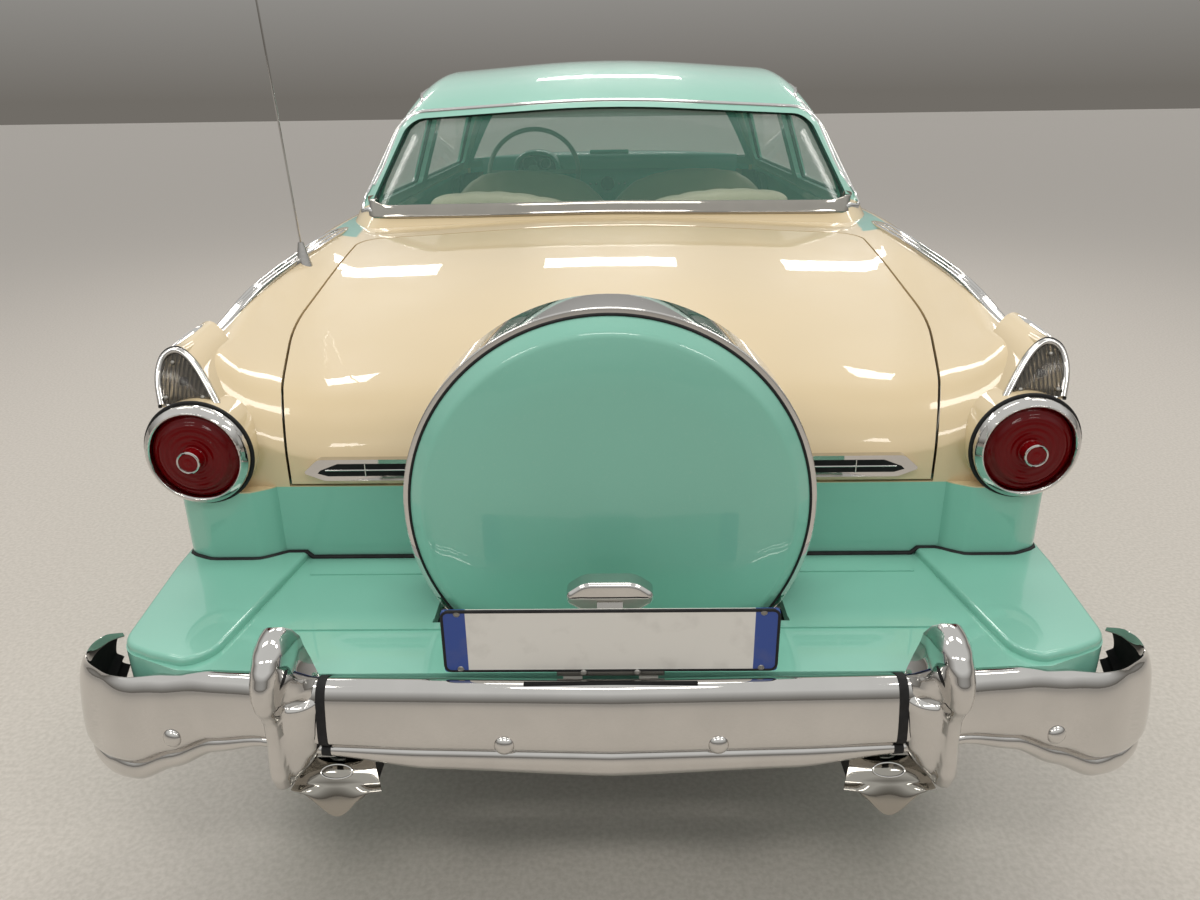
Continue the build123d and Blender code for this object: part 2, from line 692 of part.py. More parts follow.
def wheel_part(x, y, z, side, axis="X"):
    """A wheel at a hub centre, its cap on the given side along the axis."""
    outline_points = [
        (-rim_half, rim_radius - 8), (-rim_half, rim_radius + 2.7), (rim_half, rim_radius + 2.7),
        (rim_half, rim_radius - 6), (26, rim_radius - 16), (34, 128), (56, 70), (64, 0), (hub_out, 0),
        (hub_out, spindle + clearance), (hub_in, spindle + clearance), (hub_in, 56), (6, 60), (10, 150),
        (2, rim_radius - 10),
    ]
    return turned([(side * a, r) for a, r in outline_points], x, y, z, axis,
                  [0, 0, 0, 4, 8, 8, 30, 0, 0, 0, 0, 4, 6, 20, 6])


def tyre_part(x, y, z, width, axis="X"):
    half = width / 2
    bead = rim_radius + 3
    outline_points = [(-60, bead), (60, bead), (half, bead + 50), (half, tyre_radius - 62),
                      (half - 30, tyre_radius), (30 - half, tyre_radius), (-half, tyre_radius - 62),
                      (-half, bead + 50)]
    return turned(outline_points, x, y, z, axis, [6, 6, 30, 40, 32, 32, 40, 30])


for end, axle_y, track in (("front", front_axle, front_track), ("rear", rear_axle, rear_track)):
    for side_name, side in (("left", -1), ("right", 1)):
        hub_x = side * track / 2
        with BuildPart() as wheel:
            add(wheel_part(hub_x, axle_y, axle_z, side))
        save(wheel, f"wheel_{end}_{side_name}")
        with BuildPart() as tyre:
            add(tyre_part(hub_x, axle_y, axle_z, tyre_width))
        save(tyre, f"tyre_{end}_{side_name}")

# Exhaust: one pipe down each side, over the rear axle to a flared tip below the bumper.
pipe_radius = 24
pipe_points = [
    (280 + clearance, front_axle - 200, 400), (350, front_axle - 200, 400), (345, front_axle - 330, 225),
    (330, rear_axle + 330, 225), (330, rear_axle + 160, 462), (330, rear_axle - 280, 462),
    (330, rear_axle - 520, 316), (459, rear_axle - 1150, 315), (459, rear_axle - 1490, 315),
]
with BuildPart() as exhaust_side:
    with BuildLine() as pipe_line:
        FilletPolyline(*pipe_points, radius=[30, 60, 120, 120, 120, 120, 400])
    with BuildSketch(Plane(origin=pipe_points[0], z_dir=(1, 0, 0))):
        Circle(pipe_radius)
    sweep(path=pipe_line.line)
    add(turned([(0, 0), (0, 62), (560, 62), (560, 0)], 330, rear_axle + 900, 225, "Y", [0, 20, 20, 0]))
    tip = [(459 - 30, rear_axle - 1480), (459 + 30, rear_axle - 1480), (459 + 72, rear_axle - 1560),
           (459 + 46, rear_axle - 1588), (459 - 46, rear_axle - 1588), (459 - 72, rear_axle - 1560)]
    add(upward(tip, 308, 340, [10, 10, 16, 30, 30, 16]))
with BuildPart() as exhaust:
    add([exhaust_side.part, exhaust_side.part.mirror(Plane.YZ)])
save(exhaust, "exhaust")

with BuildPart() as fuel_tank:
    add(box(-270, 270, rear_axle - 1090, rear_axle - 600, 262, boot_floor_z - clearance, 50))
save(fuel_tank, "fuel_tank")

# Bumpers: a pressed section carried round the body by a bent path.


def bumper_section(base_y, profile):
    """Half of a bumper, from the middle of the car round to its right-hand end."""
    path_points = [(0, base_y), (500, base_y + bumper_sign * 12), (880, base_y + bumper_sign * 92),
                   (952, base_y + bumper_sign * 205)]
    with BuildPart() as half:
        with BuildLine() as path:
            FilletPolyline(*[(x, y, 0) for x, y in path_points], radius=[900, 130])
        add(outline(Plane.YZ, profile, bumper_bend))
        sweep(path=path.line)
    return half.part


def pressed(outer, depth):
    """The closed section of an open pressing: a line of (y, z) points and the same line set off to its left."""
    inner = []
    for i, (y, z) in enumerate(outer):
        before, after = outer[max(i - 1, 0)], outer[min(i + 1, len(outer) - 1)]
        into, out_of = atan2(z - before[1], y - before[0]), atan2(after[1] - z, after[0] - y)
        into, out_of = (out_of, out_of) if i == 0 else (into, into if i == len(outer) - 1 else out_of)
        turn = (out_of - into + pi) % (2 * pi) - pi
        reach = depth / cos(turn / 2)
        normal = into + turn / 2 + pi / 2
        inner.append((y + reach * cos(normal), z + reach * sin(normal)))
    return outer + inner[::-1]


bumper_metal = 12
bumper_bend = 3
bumper_joint = 452
bumper_y = rear_axle - rear_overhang + 62
bumper_sign = 1
rear_profile = pressed([(bumper_y + 26, 566), (bumper_y + 2, 570), (bumper_y - 16, 520), (bumper_y - 24, 470),
                        (bumper_y - 26, 412), (bumper_y - 8, 402), (bumper_y - 22, 384), (bumper_y - 16, 346),
                        (bumper_y + 8, 342)], bumper_metal)
rear_half = bumper_section(bumper_y, rear_profile)
with BuildPart() as rear_blade:
    add([rear_half, rear_half.mirror(Plane.YZ)])

with BuildPart() as rear_bumper:
    add(rear_blade.part)
    add(box(-bumper_joint, bumper_joint, bumper_y - 100, bumper_y + 100, 300, 700), mode=Mode.INTERSECT)
    for side in (-1, 1):
        x0, x1 = sorted((side * (rail_in + 5), side * (rail_out - 5)))
        add(box(x0, x1, bumper_y - 12, frame_rear, 412, boot_floor_z - 2))
save(rear_bumper, "rear_bumper")

guard_x, guard_half = 512, 48
guard_side = [(bumper_y - 2, 392), (bumper_y - 40, 390), (bumper_y - 62, 470), (bumper_y - 58, 560),
              (bumper_y - 20, 652), (bumper_y + 18, 664), (bumper_y + 34, 620), (bumper_y + 4, 580)]
guard_rear, guard_front = bumper_y - 62, bumper_y + 40
guard_plan = [(guard_x - 12, guard_rear), (guard_x + guard_half - 6, guard_rear),
              (guard_x + guard_half, guard_front), (guard_x - guard_half, guard_front)]
with BuildPart() as guard:
    add(across(guard_side, guard_x - guard_half, guard_x + guard_half, [10, 30, 90, 90, 60, 24, 24, 20]))
    add(upward(guard_plan, 300, 700, [22, 26, 0, 0]), mode=Mode.INTERSECT)
with BuildPart() as rear_bumper_ends:
    add(rear_blade.part)
    add(box(-bumper_joint - clearance, bumper_joint + clearance, bumper_y - 150, bumper_y + 300, 300, 700), mode=Mode.SUBTRACT)
    add([guard.part, guard.part.mirror(Plane.YZ)])
save(rear_bumper_ends, "rear_bumper_ends")

bumper_sign = -1
front_bumper_y = front_axle + front_overhang - 30
front_profile = pressed([(front_bumper_y - 8, 398), (front_bumper_y + 12, 412), (front_bumper_y + 20, 460),
                         (front_bumper_y + 14, 520), (front_bumper_y - 2, 558), (front_bumper_y - 26, 552)],
                        bumper_metal)
front_half_bumper = bumper_section(front_bumper_y, front_profile)
front_guard_x = 330
with BuildPart() as front_bumper:
    add([front_half_bumper, front_half_bumper.mirror(Plane.YZ)])
    guard_points = [(front_bumper_y - 8, 404), (front_bumper_y + 30, 400), (front_bumper_y + 23, 560),
                    (front_bumper_y + 8, 628), (front_bumper_y - 20, 640), (front_bumper_y - 14, 560)]
    for side in (-1, 1):
        x0, x1 = sorted((side * (front_guard_x - 40), side * (front_guard_x + 40)))
        add(across(guard_points, x0, x1, [6, 16, 60, 40, 12, 20]))
        x0, x1 = sorted((side * (rail_in + 5), side * (rail_out - 5)))
        add(box(x0, x1, frame_front, front_bumper_y - 4, bay_floor_z - 30, bay_floor_z - 8))
save(front_bumper, "front_bumper")

# Head and parking lamps
parking_x, parking_z = 652, 600
with BuildPart() as headlamps:
    for side in (-1, 1):
        lens = [(-40, 0), (-40, 84), (-20, headlamp_radius - clearance), (4, headlamp_radius - clearance),
                (8, 88), (26, 52), (32, 0)]
        add(turned(lens, side * headlamp_x, headlamp_face, headlamp_z, "Y", [0, 10, 4, 4, 20, 30, 0]))
        add(turned([(0, 0), (0, 46), (10, 46), (20, 30), (24, 0)], side * parking_x, nose, parking_z, "Y",
                   [0, 0, 6, 20, 0]))
save(headlamps, "headlamps")

# Tail lamps: a thick ring and a leaning arch frame on each pod, round a stepped lens and a clear lens.
ring_inner = 83
frame_depth = 14
arch_inner = [(738, arch_foot_z - 30), (812, arch_top_z - 18), (830, arch_top_z - 18), (836, arch_foot_z - 30)]


def lean_band(near, far):
    """The slice of space that lies between two distances behind the leaning face of the pod."""
    return across([(arch_foot_y - near, arch_foot_z), (arch_top_y - near, arch_top_z + 4),
                   (arch_top_y - far, arch_top_z + 4), (arch_foot_y - far, arch_foot_z)], 600, 900)


with BuildPart() as arch_frame:
    add(along(arch_half, tail - 60, tail + 100, [0, 14, 14, 0]))
    add(along(arch_inner, tail - 70, tail + 110, [0, 10, 10, 0]), mode=Mode.SUBTRACT)
    add(lean_band(0, frame_depth), mode=Mode.INTERSECT)
lamp_ring = turned([(0, ring_inner), (0, lamp_radius - 1), (-14, lamp_radius - 3), (-26, lamp_radius - 14),
                    (-22, ring_inner)], lamp_x, lamp_face, lamp_z, "Y", [0, 0, 8, 8, 0])
with BuildPart() as tail_lamp_rings:
    for piece in (arch_frame.part, lamp_ring):
        add(both_sides(piece))
save(tail_lamp_rings, "tail_lamp_rings")

with BuildPart() as clear_lens:
    add(along(arch_inner, tail - 60, tail + 100, [0, 10, 10, 0]))
    add(lean_band(0, frame_depth - 6), mode=Mode.INTERSECT)
    add(rod((lamp_x, lamp_face - 60, lamp_z), (lamp_x, pod_front, lamp_z), lamp_radius + clearance),
        mode=Mode.SUBTRACT)
red_lens = turned([(0, 0), (0, ring_inner - clearance), (-12, ring_inner - clearance), (-26, 60), (-26, 21),
                   (-50, 19), (-50, 0)], lamp_x, lamp_face, lamp_z, "Y", [0, 0, 8, 10, 3, 4, 0])
with BuildPart() as tail_lamp_lenses:
    for piece in (clear_lens.part, red_lens):
        add(both_sides(piece))
save(tail_lamp_lenses, "tail_lamp_lenses")

# Chrome trims on the boot lid, one each side of the spare wheel.
trim_inner, trim_outer = 346, 588
trim_low, trim_high = boot_lip_z + 12, boot_lip_z + 55
with BuildPart() as boot_trim:
    for side in (-1, 1):
        points = [(side * trim_inner, trim_low), (side * (trim_outer - 40), trim_low), (side * trim_outer, trim_low + 16),
                  (side * (trim_outer - 30), trim_high), (side * trim_inner, trim_high)]
        add(along(points, tail - 14, tail + 60, [0, 20, 4, 20, 0]))
    add(body_form.part, mode=Mode.SUBTRACT)
save(boot_trim, "boot_trim")

# Spare wheel kit: the wheel stands behind the boot in a chrome ring with a domed disc.
spare_y, spare_z, spare_width = rear_axle - 1300, 754, 150
ring_radius = tyre_radius + 4
ring_sheet = 3.5
ring_rear, ring_front = -56, 46
with BuildPart() as kit_ring:
    add(turned([(ring_rear, ring_radius - 12), (ring_rear, ring_radius), (ring_front, ring_radius),
                (ring_front, ring_radius - ring_sheet), (ring_rear + ring_sheet, ring_radius - ring_sheet),
                (ring_rear + ring_sheet, ring_radius - 12)], 0, spare_y, spare_z, "Y", [3, 3, 0, 0, 0, 0]))
save(kit_ring, "kit_ring")
disc_radius = ring_radius - 12 - clearance
disc_line = [(ring_rear, disc_radius), (ring_rear - 25, disc_radius - 24), (ring_rear - 38, disc_radius - 90),
             (ring_rear - 50, 0)]
with BuildPart() as kit_disc:
    add(turned(disc_line + [(a + 4, r) for a, r in reversed(disc_line)], 0, spare_y, spare_z, "Y",
               [0, 24, 500, 0, 0, 500, 20, 0]))
save(kit_disc, "kit_disc")
with BuildPart() as spare_wheel:
    add(wheel_part(0, spare_y, spare_z, -1, "Y"))
    add(tyre_part(0, spare_y, spare_z, spare_width, "Y"))
save(spare_wheel, "spare_wheel")
bracket_front = spare_y + spare_width / 2 + 2
with BuildPart() as spare_bracket:
    add(box(-60, 60, bracket_front, bracket_front + 30, boot_floor_z, 742))
    flange = bracket_front - spare_y + hub_in
    add(turned([(0, 0), (0, 64), (flange, 64), (flange, 0)], 0, spare_y - hub_in, spare_z, "Y"))
save(spare_bracket, "spare_bracket")

# Kit pan: a stepped tray from the tail to the bumper with raised pads at its corners and a well for the wheel.
pan_z, pan_sheet = 562, 22
pan_rear = rear_axle - 1548
pan_plan = mirrored([(850, tail + 70), (848, tail - 60), (822, rear_axle - 1430), (700, rear_axle - 1492),
                     (480, pan_rear)])
pad_plan = [(604, tail - 4), (600, tail + 40), (850, tail + 40), (846, tail - 60), (820, rear_axle - 1426),
            (760, rear_axle - 1456), (658, rear_axle - 1498)]
well_half, well_front, well_rear = 311, tail - 6, rear_axle - 1404
with BuildPart() as kit_pan:
    add(upward(pan_plan, pan_z - pan_sheet, pan_z, [0, 60, 70, 60, 30, 30, 60, 70, 60, 0]))
    add(upward(pan_plan, 446, pan_z - pan_sheet, [0, 60, 70, 60, 30, 30, 60, 70, 60, 0]))
    add(upward([(x * 0.97, y + 12) for x, y in pan_plan], 440, pan_z - pan_sheet,
               [0, 60, 70, 60, 30, 30, 60, 70, 60, 0]), mode=Mode.SUBTRACT)
    pad = upward(pad_plan, pan_z, pan_z + 14, [20, 0, 0, 40, 70, 60, 40])
    for piece in both_sides(pad):
        add(piece)
    fillet(kit_pan.edges().filter_by(GeomType.PLANE, reverse=True).group_by(Axis.Z)[-1], 8)
    for y in (tail - 62, tail - 250):
        add(box(-580, 580, y - 14, y + 14, pan_z, pan_z + 3))
    add(box(-well_half, well_half, well_rear, well_front, 400, 700), mode=Mode.SUBTRACT)
    add(body_form.part, mode=Mode.SUBTRACT)
    add(both_sides(pod.part), mode=Mode.SUBTRACT)
    add(both_sides(box(rail_in - 1, rail_out + 1, frame_rear - 10, tail + 100, 330, boot_floor_z + 1)), mode=Mode.SUBTRACT)
save(kit_pan, "kit_pan")

# Number plate on its bracket, with a lamp above it.
plate_y, plate_z, plate_width, plate_height = rear_axle - 1562, 632, 520, 110
with BuildPart() as number_plate:
    add(along(mirrored([(plate_width / 2, plate_z - plate_height / 2), (plate_width / 2, plate_z + plate_height / 2)]),
              plate_y - 4, plate_y + 2, [6, 6, 6, 6]))
    for x in (-60, 60):
        add(box(x - 15, x + 15, plate_y + 2, pan_rear, 543, 660))
save(number_plate, "number_plate")
with BuildPart() as plate_lamp:
    lamp_plan = [(-79, 694), (-40, 668), (40, 668), (79, 694), (40, 721), (-40, 721)]
    add(along(lamp_plan, plate_y + 16, plate_y + 50, [16, 40, 40, 16, 40, 40]))
    fillet(plate_lamp.edges().group_by(Axis.Y)[0], 8)
    add(box(-20, 20, plate_y + 2, plate_y + 17, 672, 684))
save(plate_lamp, "plate_lamp")

# Aerial on the left quarter
aerial_foot = (-786, rear_axle - 420, 1020)
aerial_tip = (-818, rear_axle - 440, 1800)
with BuildPart() as aerial:
    with BuildSketch(Plane.XY.offset(1000)):
        with Locations((aerial_foot[0], aerial_foot[1])):
            Circle(24)
    with BuildSketch(Plane.XY.offset(1076)):
        with Locations((aerial_foot[0] - 3, aerial_foot[1])):
            Circle(7)
    loft()
    add(rod((aerial_foot[0] - 3, aerial_foot[1], 1070), aerial_tip, 2.5))
    add(body_form.part, mode=Mode.SUBTRACT)
save(aerial, "aerial")

# Dashboard, column and steering wheel
dash_half = 640
dash_line = [(2124, 1020), (2124, 940), (2150, 890), (2300, 880), (2300, 1036), (2190, 1036), (2160, 1062)]
steer_x, steer_y, steer_z, steer_tilt = -366, rear_axle + 1800, 1075, 27
steer_axis = Vector(0, cos(radians(steer_tilt)), -sin(radians(steer_tilt)))
steer_centre = Vector(steer_x, steer_y, steer_z)


def column_point(distance):
    return tuple(steer_centre + steer_axis * distance)


column_end = (firewall_y - steer_y) / steer_axis.Y - 24
hood_view = [(steer_x - 150, 1000), (steer_x + 150, 1000), (steer_x + 120, 1092), (steer_x - 120, 1092)]
with BuildPart() as dashboard:
    add(across([(rear_axle + y, z) for y, z in dash_line], -dash_half, dash_half, [30, 20, 10, 0, 0, 0, 16]))
    add(along(hood_view, rear_axle + 2060, rear_axle + 2170, [0, 0, 60, 60]))
    add(rod(column_point(40), column_point(column_end), 22))
    add(box(steer_x - 40, steer_x + 40, firewall_y - 70, firewall_y, 740, 900))
save(dashboard, "dashboard")
wheel_ring, wheel_grip = 216, 11
with BuildPart() as steering_wheel:
    with BuildSketch(Plane(origin=column_point(10), x_dir=(1, 0, 0), z_dir=(0, steer_axis.Z * -1, steer_axis.Y))):
        with Locations((wheel_ring, 0)):
            Circle(wheel_grip)
    revolve(axis=Axis(column_point(10), steer_axis))
    add(rod(column_point(-6), column_point(40 - clearance), 30))
    spoke_plane = Plane(origin=column_point(14), x_dir=(1, 0, 0), z_dir=steer_axis)
    for angle in (0, 180, 90):
        with BuildSketch(spoke_plane):
            with Locations(Rotation(0, 0, angle)):
                with Locations((wheel_ring / 2, 0)):
                    Rectangle(wheel_ring, 18)
        extrude(amount=-8)
save(steering_wheel, "steering_wheel")

# Seats: a front bench with two backs that curve down at their outer corners, and a rear bench.
seat_floor = 318 + floor_sheet + clearance
cushion_line = [(1170, seat_floor), (1700, seat_floor), (1730, 560), (1700, 610), (1200, 590), (1160, 560)]
back_line = [(1180, 570), (1290, 570), (1240, 1040), (1210, 1096), (1170, 1090), (1110, 1000)]
back_view = [(14, 560), (690, 560), (690, 1000), (560, 1098), (120, 1098), (14, 1050)]
seat_tunnel = tunnel(floor_sheet + clearance, 200, firewall_y)
with BuildPart() as seat_back:
    add(along(back_view, rear_axle + 1000, rear_axle + 1400, [0, 0, 90, 200, 120, 60]))
    add(across([(rear_axle + y, z) for y, z in back_line], 0, 800, [0, 0, 200, 20, 20, 200]), mode=Mode.INTERSECT)
with BuildPart() as front_seat:
    add(across([(rear_axle + y, z) for y, z in cushion_line], -690, 690, [20, 20, 40, 50, 40, 30]))
    add(seat_tunnel, mode=Mode.SUBTRACT)
    add(both_sides(seat_back.part))
save(front_seat, "front_seat")
shelf_z = 540 + floor_sheet + clearance
rear_cushion = [(400, seat_floor), (830, seat_floor), (860, 540), (820, 590), (400, 570)]
rear_back = [(140, shelf_z), (240, shelf_z), (400 - clearance, 572), (320, 1010), (270, 1062), (150, 1066), (120, 1040)]
with BuildPart() as rear_seat:
    add(across([(rear_axle + y, z) for y, z in rear_cushion], -560, 560, [20, 20, 40, 40, 0]))
    add(seat_tunnel, mode=Mode.SUBTRACT)
    add(across([(rear_axle + y, z) for y, z in rear_back], -560, 560, [0, 0, 0, 100, 40, 20, 20]))
save(rear_seat, "rear_seat")
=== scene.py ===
# A two-door saloon of the mid 1950s with its spare wheel behind the boot, seen from behind.
import bpy, bmesh, json
from math import radians, sin, cos, pi, tau, sqrt
from mathutils import Vector, Matrix
from mathutils.bvhtree import BVHTree

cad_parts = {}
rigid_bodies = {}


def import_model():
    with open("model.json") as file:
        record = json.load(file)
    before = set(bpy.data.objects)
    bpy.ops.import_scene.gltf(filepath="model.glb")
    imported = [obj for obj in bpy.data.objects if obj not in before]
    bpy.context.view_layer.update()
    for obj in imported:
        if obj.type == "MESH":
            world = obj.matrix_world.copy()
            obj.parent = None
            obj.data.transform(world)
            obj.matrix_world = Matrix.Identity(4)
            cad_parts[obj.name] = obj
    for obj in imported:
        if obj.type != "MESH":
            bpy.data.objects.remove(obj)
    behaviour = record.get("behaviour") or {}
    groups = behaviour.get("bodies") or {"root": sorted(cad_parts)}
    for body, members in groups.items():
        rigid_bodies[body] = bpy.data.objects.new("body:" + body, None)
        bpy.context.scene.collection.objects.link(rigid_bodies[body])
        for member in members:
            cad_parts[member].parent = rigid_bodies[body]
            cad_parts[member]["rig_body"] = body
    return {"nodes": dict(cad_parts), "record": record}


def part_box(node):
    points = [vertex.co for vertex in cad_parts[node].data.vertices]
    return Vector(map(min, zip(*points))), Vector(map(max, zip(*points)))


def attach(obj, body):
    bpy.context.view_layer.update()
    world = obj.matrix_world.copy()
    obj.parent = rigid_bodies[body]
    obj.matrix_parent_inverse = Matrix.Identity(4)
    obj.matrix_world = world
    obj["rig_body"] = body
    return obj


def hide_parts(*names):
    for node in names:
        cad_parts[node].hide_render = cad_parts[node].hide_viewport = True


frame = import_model()
nodes = frame["nodes"]
slotOf = {part["node"]: part["material_slot"] for part in frame["record"]["subparts"]}
bodyOf = {name: obj["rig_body"] for name, obj in nodes.items()}
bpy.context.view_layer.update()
scene = bpy.context.scene
rearAxle, frontAxle, axleHeight = -1.076, 1.858, 0.35
sides = ((-1, "left"), (1, "right"))
rearward, upward = Vector((0, -1, 0)), Vector((0, 0, 1))
print("frame loaded,", len(nodes), "nodes")

# camera, floor and light
view = {"place": (0.007, -3.825, 1.419), "down": 21.61, "yaw": 0.90, "roll": -0.82, "lens": 26.97}
camera = bpy.data.objects.new("camera", bpy.data.cameras.new("camera"))
scene.collection.objects.link(camera)
scene.camera = camera
camera.data.lens, camera.data.sensor_width = view["lens"], 36
camera.data.clip_start, camera.data.clip_end = 0.05, 200
turn = Matrix.Rotation(radians(view["yaw"]), 4, "Z") @ Matrix.Rotation(radians(90 - view["down"]), 4, "X")
camera.matrix_world = Matrix.Translation(view["place"]) @ turn @ Matrix.Rotation(radians(view["roll"]), 4, "Z")
scene.view_settings.view_transform = "Standard"


def linear(*screen):                 # a colour read off a screen, 0 to 255
    shares = [c / 255 for c in screen]
    return tuple(c / 12.92 if c <= 0.04045 else ((c + 0.055) / 1.055) ** 2.4 for c in shares) + (1,)


def darker(colour, by):
    return tuple(c * by for c in colour[:3]) + (1,)


class Nodes:                         # a node tree, with short ways of adding to it
    def __init__(self, tree):
        self.tree = tree

    def add(self, kind, sockets=None, **settings):
        node = self.tree.nodes.new(kind)
        for key, value in settings.items():
            setattr(node, key, value)
        for key, value in (sockets or {}).items():
            if isinstance(value, bpy.types.NodeSocket):
                self.tree.links.new(value, node.inputs[key])
            else:
                node.inputs[key].default_value = value
        return node

    def made(self, kind, sockets=None, **settings):
        return self.add(kind, sockets, **settings).outputs[0]

    def calc(self, operation, a, b=None):
        return self.made("ShaderNodeMath", {0: a} if b is None else {0: a, 1: b}, operation=operation)

    def spread(self, value, low, high, toLow=0.0, toHigh=1.0):
        return self.made("ShaderNodeMapRange", {0: value, 1: low, 2: high, 3: toLow, 4: toHigh})

    def blend(self, factor, a, b):
        return self.add("ShaderNodeMix", {0: factor, 6: a, 7: b}, data_type="RGBA").outputs[2]


def studioLight():
    studio = {"sky": linear(226, 226, 224), "horizon": linear(112, 108, 102), "fill": 0.50,
              "fillColour": (1, 0.985, 0.96, 1), "panelColour": (1, 0.97, 0.92),
              "panels": [(x, y) for y in (-4.6, -2.2, 0.4, 3.0) for x in (-2.3, 0.0, 2.3)],
              "panelSize": (1.3, 0.42), "panelHeight": 3.5, "panelPower": 15}
    world = bpy.data.worlds.new("studio")
    scene.world = world
    world.use_nodes = True
    world.node_tree.nodes.clear()
    sky = Nodes(world.node_tree)
    out = sky.add("ShaderNodeOutputWorld")
    direction = sky.add("ShaderNodeTexCoord").outputs["Generated"]
    height = sky.spread(sky.add("ShaderNodeSeparateXYZ", {0: direction}).outputs[2], 0.0, 0.5)
    seen = sky.made("ShaderNodeBackground", {0: sky.blend(height, studio["horizon"], studio["sky"]), 1: 1.0})
    lit = sky.made("ShaderNodeBackground", {0: studio["fillColour"], 1: studio["fill"]})
    rays = sky.add("ShaderNodeLightPath").outputs
    shown = sky.calc("MAXIMUM", sky.calc("MAXIMUM", rays["Is Camera Ray"], rays["Is Glossy Ray"]),
                     rays["Is Transmission Ray"])
    sky.tree.links.new(sky.made("ShaderNodeMixShader", {0: shown, 1: lit, 2: seen}), out.inputs[0])
    for i, (x, y) in enumerate(studio["panels"]):
        lamp = bpy.data.lights.new(f"ceilingPanel{i}", "AREA")
        lamp.shape, lamp.size, lamp.size_y = "RECTANGLE", *studio["panelSize"]
        lamp.energy, lamp.color = studio["panelPower"], studio["panelColour"]
        obj = bpy.data.objects.new(lamp.name, lamp)
        obj.location = (x, y, studio["panelHeight"])
        scene.collection.objects.link(obj)


studioLight()

# finishes


class Finish(Nodes):                 # a material of its own
    def __init__(self, name, colour, sockets):
        self.material = bpy.data.materials.new(name)
        self.material.use_nodes = True
        super().__init__(self.material.node_tree)
        self.surface = self.tree.nodes["Principled BSDF"]
        for key, value in {"Base Color": colour, **sockets}.items():
            self.surface.inputs[key].default_value = value

    def feed(self, socket, value):
        self.tree.links.new(value, self.surface.inputs[socket])

    def where(self):
        return self.add("ShaderNodeTexCoord").outputs["Object"]

    def place(self):                 # x, y and z of the point, in metres
        return self.add("ShaderNodeSeparateXYZ", {0: self.where()}).outputs[:3]

    def grain(self, scale, detail, stretch=(1, 1, 1)):
        sized = self.made("ShaderNodeMapping", {0: self.where(), "Scale": stretch})
        return self.made("ShaderNodeTexNoise", {"Vector": sized, "Scale": scale, "Detail": detail})

    def tone(self, scale, detail, low=0.3, high=0.7, toLow=0.0, toHigh=1.0, stretch=(1, 1, 1)):
        return self.spread(self.grain(scale, detail, stretch), low, high, toLow, toHigh)

    def shade(self, colour, dark, light, *tone):     # the colour, darker and lighter in patches
        self.feed("Base Color", self.blend(self.tone(*tone), darker(colour, dark), darker(colour, light)))

    def relief(self, height, distance, strength, socket="Normal"):
        sockets = {"Height": height, "Distance": distance, "Strength": strength}
        self.feed(socket, self.made("ShaderNodeBump", sockets))

    def radius(self, spot, centre):  # the distance from a centre, over two of the axes
        squares = [self.calc("POWER", self.calc("SUBTRACT", value, at), 2.0) for value, at in zip(spot, centre)]
        return self.calc("SQRT", self.calc("ADD", *squares))

    def waves(self, value, scale):
        return self.calc("SINE", self.calc("MULTIPLY", value, scale))


paints = {"turquoise": linear(134, 200, 180), "cream": linear(222, 201, 160), "dash": linear(92, 164, 148)}
paintEdge = {"line": 0.0006, "frame": 0.0012, "cabin": (-1.20, 1.35), "cabinBlur": 0.01,
             "inward": (-0.04, -0.02)}


def paintFinish(name, colour, second=None, line=None, upper=None):
    paint = Finish(name, colour, {"Roughness": 0.34, "Coat Weight": 1.0, "Coat Roughness": 0.02,
                                  "Coat IOR": 1.5, "Specular IOR Level": 0.4})
    tone = paint.tone(1.7, 2, 0.35, 0.65)
    base = paint.blend(tone, darker(colour, 0.965), darker(colour, 1.02))
    if second:                       # a second colour above a line given by y and z
        x, y, z = paint.place()
        near, far = line[0][0], line[-1][0]
        curve = paint.add("ShaderNodeFloatCurve", {1: paint.spread(y, near, far)})
        points = curve.mapping.curves[0].points
        while len(points) < len(line):
            points.new(0.5, 0.5)
        for point, (alongLine, height) in zip(points, line):
            point.location = ((alongLine - near) / (far - near), height)
            point.handle_type = "VECTOR"
        curve.mapping.update()
        above = paint.spread(paint.calc("SUBTRACT", z, curve.outputs[0]), -paintEdge["line"], paintEdge["line"])
        other = paint.blend(tone, darker(second, 0.965), darker(second, 1.02))
        if upper:                    # the window frames take the lower colour again
            above = paint.calc("MULTIPLY", above, paint.spread(z, upper, upper + paintEdge["frame"], 1.0, 0.0))
        base = paint.blend(above, base, other)
        facing = paint.made("ShaderNodeSeparateXYZ", {0: paint.add("ShaderNodeNewGeometry").outputs["Normal"]})
        inward = paint.spread(paint.calc("MULTIPLY", facing, x), *paintEdge["inward"], 1.0, 0.0)
        rear, front = paintEdge["cabin"]
        cabin = paint.calc("MULTIPLY", paint.spread(y, rear, rear + paintEdge["cabinBlur"]),
                           paint.spread(y, front, front + paintEdge["cabinBlur"], 1.0, 0.0))
        base = paint.blend(paint.calc("MULTIPLY", inward, cabin), base, paints["dash"])
    dust = paint.tone(260, 2, 0.60, 0.80, 0.0, 0.05)
    paint.feed("Base Color", paint.blend(dust, base, linear(235, 232, 224)))
    paint.feed("Roughness", paint.tone(9, 4, 0.3, 0.7, 0.28, 0.40))
    paint.relief(paint.grain(420, 2), 0.0004, 0.10)                    # metal flake under the lacquer
    paint.relief(paint.grain(55, 2), 0.0006, 0.035, "Coat Normal")     # the lacquer's faint orange peel
    return paint.material


